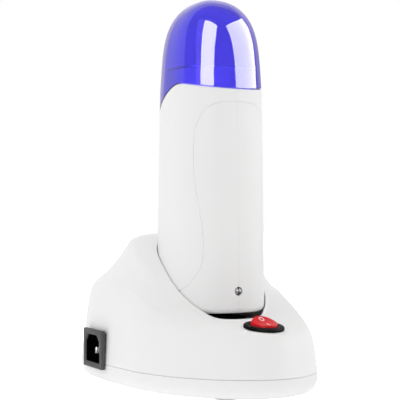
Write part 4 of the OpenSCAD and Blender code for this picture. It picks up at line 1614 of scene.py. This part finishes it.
    def inlet_frame(self) -> Matrix:
        """The inlet's place in the flank, with X pointing out of it.

        Returns:
            The matrix, in metres.
        """
        spot = Vector((self.grip.axis_x - self.oval.half_w + self.inlet_sunk,
                       self.grip.axis_y + self.inlet_rear, self.inlet_z)) * MM
        return Matrix.Translation(spot) @ Matrix.Rotation(math.radians(self.inlet_turn), 4, "Z")

    def _switch_tool(self) -> bpy.types.Object:
        """The switch's hole.

        Returns:
            The tool.
        """
        tool = cylinder("switch_tool", self.switch_hole_d, -20, 20)
        tool.data.transform(self.switch_frame())
        return tool

    def _inlet_tool(self) -> bpy.types.Object:
        """The hole for the inlet's body and the recess that its flange sits in.

        Returns:
            The tool.
        """
        (hole_w, hole_h), (seat_w, seat_h) = self.inlet_hole, self.inlet_recess
        tool = block("inlet_tool", (-14, -hole_w / 2, -hole_h / 2), (6, hole_w / 2, hole_h / 2))
        combine(tool, block("recess", (0, -seat_w / 2, -seat_h / 2), (6, seat_w / 2, seat_h / 2)), "UNION")
        tool.data.transform(self.inlet_frame())
        return tool


@dataclass
class Feet:
    """Four rubber feet with rounded rims and a shallow dish."""

    base: BaseMouldings
    d: float = 14.0
    height: float = 2.7
    rim: float = 3.2
    dish: float = 0.5
    edge_round: float = 0.6

    def build(self, shop: Workshop) -> None:
        """Models one foot, copies it to each recess and fits the set.

        Args:
            shop: where finishes and bodies come from.
        """
        feet = []
        for spot in self.base.foot_spots:
            foot = cylinder("foot", self.d, 0, self.height, sides=48)
            with editing(foot, Element.FACE) as mesh:
                pick(mesh, Element.FACE, lambda face: face.normal.z < -0.9)
                bpy.ops.mesh.inset(thickness=self.rim * MM)
                bpy.ops.mesh.extrude_region_move(TRANSFORM_OT_translate={"value": (0, 0, self.dish * MM)})
            soften(foot, self.edge_round, 3)
            place = Vector((self.base.grip.axis_x + spot[0], self.base.grip.axis_y + spot[1], 0)) * MM
            foot.data.transform(Matrix.Translation(place))
            feet.append(foot)
        piece = join(feet, "feet")
        smooth(piece)
        shop.fit(piece, Body.BASE, "rubber", stands_for=("rubber_feet",))


@dataclass
class Inlet:
    """The black mains inlet: flange, chamfered socket and three blades."""

    base: BaseMouldings
    flange_w: float = 31.0
    flange_h: float = 23.0
    flange_t: float = 2.5
    corner_r: float = 0.5
    socket_w: float = 24.4
    socket_h: float = 16.6
    socket_chamfer: float = 4.6
    socket_depth: float = 12.4
    insert_t: float = 0.6
    insert_back: float = 0.8
    blades: tuple = ((7, -2), (-7, -2), (0, 2))
    blade_t: float = 2.0
    blade_h: float = 4.0
    blade_front: float = -2.1
    blade_back: float = -13.5
    tab_t: float = 0.8
    tab_back: float = -20.0
    body_size: tuple[float, float] = (27.2, 19.8)
    body_back: float = -14.0
    mouth_round: float = 0.35
    flange_ease: float = 0.2
    socket_round: float = 0.9
    insert_play: float = 0.02
    blade_ease: float = 0.45

    def build(self, shop: Workshop) -> None:
        """Makes the housing and the blades and fits them.

        Args:
            shop: where finishes and bodies come from.
        """
        place = self.base.inlet_frame()
        housing = self._housing()
        housing.data.transform(place)
        smooth(housing)
        shop.fit(housing, Body.BASE, "black_flange", stands_for=("inlet_housing",))
        insert = self._insert()
        insert.data.transform(place)
        smooth(insert)
        # the lining's near-black finish is painted shade inside the socket
        shop.fit(insert, Body.BASE, "black_socket_painted_shade")
        blades = self._blades()
        blades.data.transform(place)
        smooth(blades)
        # the blades' darkened finish is painted shade in the socket
        shop.fit(blades, Body.BASE, "blade", stands_for=("inlet_pins",))

    @staticmethod
    def upright() -> Matrix:
        """Turns a form that was built on the ground so that its height points out of the socket."""
        return Matrix(((0, 0, 1, 0), (1, 0, 0, 0), (0, 1, 0, 0), (0, 0, 0, 1)))

    def _housing(self) -> bpy.types.Object:
        """The flange and its body, with the socket cut in.

        Returns:
            The housing, before it is placed.
        """
        plan = rounded_plan(self.flange_w, self.flange_h, self.corner_r, 6)
        flange = prism("inlet", plan, 0, self.flange_t)
        flange.data.transform(self.upright())
        soften(flange, self.flange_ease, 2, 60)
        across, up = self.body_size[0] / 2, self.body_size[1] / 2
        combine(flange, block("body", (self.body_back, -across, -up), (0.5, across, up)), "UNION")
        w, h = self.socket_w / 2, self.socket_h / 2
        combine(flange, self._socket(0, self.flange_t - self.socket_depth, self.flange_t + 4))
        combine(flange, self._socket(self.insert_t, self.flange_t - self.socket_depth - self.insert_t,
                                     self.flange_t - self.insert_back))
        with editing(flange) as mesh:
            front = self.flange_t * MM
            pick(mesh, Element.EDGE, lambda edge: all(
                abs(v.co.x - front) < 1e-6 and abs(v.co.y) < (w + 0.4) * MM and abs(v.co.z) < (h + 0.4) * MM
                for v in edge.verts))
            bpy.ops.mesh.bevel(offset=self.mouth_round * MM, segments=2, affect="EDGES")
        flange.name = flange.data.name = "inlet_body"
        return flange

    def _socket(self, grow: float, low: float, high: float) -> bpy.types.Object:
        """The socket's chamfered form, drawn out by grow, from depth low to high.

        Args:
            grow: how far it is drawn out.
            low: its floor.
            high: its mouth.

        Returns:
            The form.
        """
        w, h = self.socket_w / 2 + grow, self.socket_h / 2 + grow
        c = self.socket_chamfer + 0.6 * grow
        plan = np.array([(-w, -h), (w, -h), (w, h - c), (w - c, h), (c - w, h), (-w, h - c)])
        form = prism("socket", plan, low, high)
        form.data.transform(self.upright())
        soften(form, self.socket_round, 3, 30)
        return form

    def _insert(self) -> bpy.types.Object:
        """The cup that lines the socket and holds the blades; its near-black, unglossy finish is painted
        shade inside the socket.

        Returns:
            The cup, before it is placed.
        """
        floor, rim = self.flange_t - self.socket_depth, self.flange_t - self.insert_back
        skin_t = self.insert_t - self.insert_play
        insert = self._socket(skin_t, floor - skin_t, rim - self.insert_play)
        combine(insert, self._socket(0, floor, rim + 4))
        insert.name = insert.data.name = "inlet_insert"
        return insert

    def _blades(self) -> bpy.types.Object:
        """Three flat blades with eased ends.

        Returns:
            The blades, before they are placed.
        """
        pieces = []
        back, thick, tab, tall = self.blade_back, self.blade_t / 2, self.tab_t / 2, self.blade_h / 2
        for y, z in self.blades:
            blade = block("blade", (back, y - thick, z - tall), (self.blade_front, y + thick, z + tall))
            soften(blade, self.blade_ease, 3)
            pieces.append(blade)
            pieces.append(block("tab", (self.tab_back, y - tab, z - tall), (back + 0.1, y + tab, z + tall)))
        return join(pieces, "inlet_blades")


@dataclass
class Switch:
    """The round rocker switch: bezel, rocker and the generic O and I on it."""

    base: BaseMouldings
    bezel_d: float = 23.0
    bezel_h: float = 2.0
    bezel_round: float = 1.1
    bezel_ease: float = 0.25
    bore_d: float = 16.2
    body_d: float = 19.8
    body_depth: float = 15.0
    bore_depth: float = 11.0
    rocker_d: float = 15.6
    rocker_ease: float = 0.3
    pivot_z: float = 0.1
    tilt: float = 11.0
    skirt: float = 3.5
    waist: float = 3.55
    hollow_r: float = 25.0
    fullness: float = 1.2
    pin_d: float = 2.0
    pin_reach: float = 1.1
    mark_w: float = 0.56
    mark_low: float = -0.12
    mark_high: float = 0.07
    mark_ease: float = 0.08
    ring_size: tuple[float, float] = (3.0, 3.9)
    ring_width: float = 0.32
    ring_y: float = 3.75
    bar_span: tuple[float, float] = (-5.3, -2.0)

    def build(self, shop: Workshop) -> None:
        """Makes the bezel, the rocker and the marks and fits them.

        Args:
            shop: where finishes and bodies come from.
        """
        place = self.base.switch_frame()
        bezel = self._bezel()
        bezel.data.transform(place)
        smooth(bezel)
        shop.fit(bezel, Body.BASE, "black_plastic", stands_for=("switch_bezel",))
        tilted = place @ Matrix.Translation(Vector((0, 0, self.pivot_z * MM)))
        tilted = tilted @ Matrix.Rotation(math.radians(self.tilt), 4, "X")
        rocker = self._rocker()
        rocker.data.transform(tilted)
        smooth(rocker, 40)
        shop.fit(rocker, Body.ROCKER, "red_rocker", stands_for=("switch_rocker",))
        marks = self._marks()
        marks.data.transform(tilted)
        smooth(marks)
        shop.fit(marks, Body.ROCKER, "white_mark")

    def _bezel(self) -> bpy.types.Object:
        """A ring with a crowned face on a round body that is open to the rocker.

        Returns:
            The bezel, before it is placed.
        """
        bezel = cylinder("bezel", self.bezel_d, 0, self.bezel_h, sides=96)
        with editing(bezel, Element.FACE) as mesh:
            pick(mesh, Element.FACE, lambda face: face.normal.z > 0.9)
            bpy.ops.mesh.inset(thickness=(self.bezel_d - self.bore_d) / 2 * MM)
            sink = -(self.bezel_h + self.bore_depth) * MM
            bpy.ops.mesh.extrude_region_move(TRANSFORM_OT_translate={"value": (0, 0, sink)})
        with editing(bezel, Element.FACE) as mesh:
            pick(mesh, Element.FACE,
                 lambda face: face.normal.z < -0.9 and abs(face.calc_center_median().z) < 1e-6)
            bpy.ops.mesh.inset(thickness=(self.bezel_d - self.body_d) / 2 * MM)
            sink = -self.body_depth * MM
            bpy.ops.mesh.extrude_region_move(TRANSFORM_OT_translate={"value": (0, 0, sink)})
        with editing(bezel) as mesh:
            top = self.bezel_h * MM
            pick(mesh, Element.EDGE, lambda edge: all(
                abs(v.co.z - top) < 1e-6 and v.co.xy.length > self.bezel_d * 0.45 * MM for v in edge.verts))
            bpy.ops.mesh.bevel(offset=self.bezel_round * MM, segments=4, affect="EDGES")
        soften(bezel, self.bezel_ease, 2, 50)
        return bezel

    def _rocker(self) -> bpy.types.Object:
        """A ball cut off below, with a finger hollow along the pivot and its pins.

        Returns:
            The rocker, level.
        """
        bpy.ops.object.select_all(action="DESELECT")
        bpy.ops.mesh.primitive_uv_sphere_add(segments=96, ring_count=64, radius=self.rocker_d / 2 * MM)
        rocker = bpy.context.object
        rocker.name = rocker.data.name = "rocker"
        rocker.scale.z = self.fullness
        settle(rocker)
        with editing(rocker):
            bpy.ops.mesh.select_all(action="SELECT")
            bpy.ops.mesh.bisect(plane_co=(0, 0, -self.skirt * MM), plane_no=(0, 0, 1), clear_inner=True,
                                use_fill=True)
        hollow = cylinder("hollow", 2 * self.hollow_r, -12, 12, sides=256)
        lift = Matrix.Translation((0, 0, (self.waist + self.hollow_r) * MM))
        hollow.data.transform(lift @ Matrix.Rotation(math.radians(90), 4, "Y"))
        combine(rocker, hollow)
        soften(rocker, self.rocker_ease, 3, 40)
        reach = self.bore_d / 2 + self.pin_reach
        pins = cylinder("pins", self.pin_d, -reach, reach, sides=24)
        pins.data.transform(Matrix.Rotation(math.radians(90), 4, "Y"))
        combine(rocker, pins, "UNION")
        return rocker

    def surface_z(self, y: float) -> float:
        """Height of the finger hollow at y from the pivot."""
        return self.waist + self.hollow_r - math.sqrt(self.hollow_r**2 - y**2)

    def _marks(self) -> bpy.types.Object:
        """The ring of the O behind the pivot and the bar of the I in front of it.

        Returns:
            Both marks as one object, for the level rocker.
        """
        ring = cylinder("ring", 2, self.mark_low, self.mark_high)
        with editing(ring, Element.FACE) as mesh:
            pick(mesh, Element.FACE, lambda face: abs(face.normal.z) > 0.9)
            bpy.ops.mesh.inset(thickness=self.ring_width * MM)
            bpy.ops.mesh.bridge_edge_loops()
        ring.scale = (self.ring_size[0] / 2, self.ring_size[1] / 2, 1)
        ring.location = (0, self.ring_y * MM, 0)
        settle(ring)
        half, (front, rear) = self.mark_w / 2, self.bar_span
        bar = block("bar", (-half, front, self.mark_low), (half, rear, self.mark_high))
        with editing(bar, Element.EDGE):
            bpy.ops.mesh.select_all(action="SELECT")
            bpy.ops.mesh.subdivide(number_cuts=4)
        soften(bar, self.mark_ease, 2, 60)
        marks = join([ring, bar], "rocker_marks")
        for vertex in marks.data.vertices:
            vertex.co.z += self.surface_z(vertex.co.y / MM) * MM
        return marks


@dataclass
class PackedNodes:
    """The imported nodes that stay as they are, each with its finish."""

    finishes: dict[str, str] = field(default_factory=lambda: {
        "base_screws": "steel", "switch_terminals": "brass", "dock_block": "black_plastic",
        "dock_sleeves": "brass", "dock_screws": "steel", "base_leads": "lead", "handle_screws": "steel",
        "lamp_board": "board", "handle_connector": "black_plastic", "handle_pins": "brass",
        "handle_leads": "lead", "heating_chamber": "aluminium", "chamber_carrier": "white_inner",
        "heater_plates": "ceramic", "insulation_sheets": "film", "clamp_springs": "steel",
        "thermal_cutout": "nickel"})

    def build(self, shop: Workshop) -> None:
        """Dresses each node."""
        for node, finish in self.finishes.items():
            shop.dress(node, finish)


# ---- the studio ----


@dataclass(frozen=True)
class Softbox:
    """A rectangular lamp that looks at the handle.

    Turn is measured to the right of the line from the object to the camera, rise above the horizon,
    and roll leans its top to the camera's right, all in degrees. The rest is in metres, and glow in
    watts per square metre.
    """

    name: str
    turn: float
    rise: float
    distance: float
    width: float
    height: float
    glow: float
    roll: float = 0.0
    on_surfaces: bool = True
    in_gloss: bool = True
    through_cap: bool = False


@dataclass
class Studio:
    """Camera, floor, surroundings and lamps."""

    grip: Grip
    azimuth: float = -30.0
    camera_distance: float = 0.715
    camera_height: float = 0.0977
    axis_offset: float = 0.0066
    lens: float = 108.0
    sensor: float = 36.0
    shift_y: float = 0.05
    ambient: float = 0.657
    in_gloss: float = 0.4
    backdrop: float = 1.1
    backdrop_edge: tuple[float, float, float] = (-0.93, -0.165, -0.33)
    backdrop_right: float = 0.42
    backdrop_high: float = 0.95
    backdrop_fade: tuple[float, float] = (-0.01, 0.02)
    wing_from: tuple[float, float] = (0.04, 0.3)
    wing_heights: tuple[float, float] = (0.15, 0.5)
    aim_height: float = 0.11
    floor_size: float = 12.0
    floor_light: float = 0.44
    floor_seen: float = 0.75
    lamps: tuple = (
        Softbox("left_softbox", -95, 14, 1.3, 1.5, 1.6, 1.6, in_gloss=False),
        Softbox("right_softbox", 95, 18, 1.3, 1.1, 1.6, 0.15, in_gloss=False),
        Softbox("top_softbox", 0, 88, 1.3, 1.2, 1.2, 4.8, in_gloss=False),
        Softbox("front_strip", -7, 28, 1.4, 0.98, 1.62, 54.0, roll=13, on_surfaces=False),
        Softbox("right_strip", 88, 14, 1.1, 1.1, 1.55, 43.0, on_surfaces=False),
        Softbox("cap_fill", -20, 40, 1.2, 1.2, 1.2, 14.0, on_surfaces=False, in_gloss=False,
                through_cap=True),
    )

    def to_camera(self, turn: float = 0.0, rise: float = 0.0) -> Vector:
        """Unit vector from the object, turned to the camera's right and raised, in degrees."""
        a, e = math.radians(self.azimuth + turn), math.radians(rise)
        return Vector((math.sin(a) * math.cos(e), -math.cos(a) * math.cos(e), math.sin(e)))

    def build(self) -> None:
        """Makes the camera, the surroundings and the lamps."""
        self._camera()
        self._floor()
        self._world()
        for lamp in self.lamps:
            self._lamp(lamp)
        bpy.context.scene.view_settings.view_transform = "Standard"

    def _camera(self) -> None:
        """A level camera at the photograph's angle."""
        data = bpy.data.cameras.new("camera")
        data.lens, data.sensor_width, data.shift_y = self.lens, self.sensor, self.shift_y
        camera = bpy.data.objects.new("camera", data)
        bpy.context.scene.collection.objects.link(camera)
        back = self.to_camera()
        right = Vector((math.cos(math.radians(self.azimuth)), math.sin(math.radians(self.azimuth)), 0))
        spot = Vector((self.grip.axis_x * MM, self.grip.axis_y * MM, self.camera_height))
        camera.location = spot + back * self.camera_distance - right * self.axis_offset
        camera.rotation_euler = (-back).to_track_quat("-Z", "Y").to_euler()
        bpy.context.scene.camera = camera

    def _floor(self) -> None:
        """A wide white floor that keeps a faint shadow."""
        bpy.ops.object.select_all(action="DESELECT")
        bpy.ops.mesh.primitive_plane_add(size=self.floor_size, location=(0, 0, 0))
        floor = bpy.context.object
        floor.name = floor.data.name = "floor"
        material, board = new_material("floor")
        path = board.add("ShaderNodeLightPath").outputs
        seen = board.math("MAXIMUM", path["Is Camera Ray"], path["Is Transmission Ray"])
        paint = board.add("ShaderNodeBsdfDiffuse", {"Color": (0.8, 0.8, 0.8, 1)})
        strength = board.span(seen, 0, 1, self.floor_light, self.floor_seen)
        glow = board.add("ShaderNodeEmission", {"Color": (1, 1, 1, 1), "Strength": strength})
        both = board.add("ShaderNodeAddShader", {0: paint.outputs[0], 1: glow.outputs[0]})
        board.add("ShaderNodeOutputMaterial", {"Surface": both.outputs[0]})
        floor.data.materials.append(material)

    def _world(self) -> None:
        """White surroundings, calmer where they light the object.

        In its gloss they are dim, apart from the backdrop behind it, whose right wing is dim low down.
        """
        world = bpy.data.worlds.new("studio")
        world.use_nodes = True
        bpy.context.scene.world = world
        board = Board(world.node_tree)
        path = board.add("ShaderNodeLightPath").outputs
        seen = board.math("MAXIMUM", path["Is Camera Ray"], path["Is Transmission Ray"])
        ahead = board.add("ShaderNodeTexCoord").outputs["Generated"]
        near, right, up = self.backdrop_edge
        square = self.to_camera() * near + self.to_camera(90) * right + Vector((0, 0, up))
        facing = board.add("ShaderNodeVectorMath", {0: ahead, 1: square}, operation="DOT_PRODUCT")
        beside = board.add("ShaderNodeVectorMath", {0: ahead, 1: self.to_camera(90)}, operation="DOT_PRODUCT")
        height = board.add("ShaderNodeSeparateXYZ", {0: ahead}).outputs["Z"]
        wing = board.span(height, *self.wing_heights, self.backdrop_right, self.backdrop_high)
        behind = board.span(beside.outputs["Value"], *self.wing_from, self.backdrop, wing)
        above_dim = board.math("SUBTRACT", behind, self.in_gloss)
        edge = board.span(facing.outputs["Value"], *self.backdrop_fade)
        backdrop = board.math("MULTIPLY_ADD", edge, above_dim, self.in_gloss)
        around = board.add("ShaderNodeMix", {0: path["Is Glossy Ray"], 2: self.ambient, 3: backdrop})
        strength = board.math("MAXIMUM", seen, around.outputs[0])
        glow = board.add("ShaderNodeBackground", {"Color": (1, 1, 1, 1), "Strength": strength})
        board.add("ShaderNodeOutputWorld", {"Surface": glow.outputs[0]})

    def _lamp(self, lamp: Softbox) -> None:
        """One area lamp, aimed at the handle.

        Args:
            lamp: its place, size and light.
        """
        data = bpy.data.lights.new(lamp.name, "AREA")
        data.shape = "RECTANGLE"
        data.size, data.size_y = lamp.width, lamp.height
        data.energy = lamp.glow * lamp.width * lamp.height
        light = bpy.data.objects.new(lamp.name, data)
        bpy.context.scene.collection.objects.link(light)
        toward_lamp = self.to_camera(lamp.turn, lamp.rise)
        target = Vector((self.grip.axis_x * MM, self.grip.axis_y * MM, self.aim_height))
        light.location = target + toward_lamp * lamp.distance
        aim = (-toward_lamp).to_track_quat("-Z", "Y")
        light.rotation_euler = (aim @ Quaternion((0, 0, 1), -math.radians(lamp.roll))).to_euler()
        light.visible_camera = False
        light.visible_diffuse = lamp.on_surfaces
        light.visible_transmission = lamp.through_cap
        light.visible_glossy = lamp.in_gloss


def corners(bounds: tuple[Vector, Vector]) -> list[list[float]]:
    """A box's two corners as plain lists."""
    return [list(corner) for corner in bounds]


def main() -> None:
    """Builds the studio and the object, piece by piece."""
    logging.basicConfig(level=logging.INFO, format="%(message)s")
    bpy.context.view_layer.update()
    shop = Workshop()
    grip = Grip.from_frame()
    Studio(grip).build()
    base, cap = BaseMouldings(grip), Cap(grip)
    for part in (base, Feet(base), Inlet(base), Switch(base), HandleShells(grip), Lamp(grip), Collar(cap),
                 cap, PackedNodes()):
        part.build(shop)
        LOG.info("%s done", type(part).__name__)


if __name__ == "__main__":
    main()
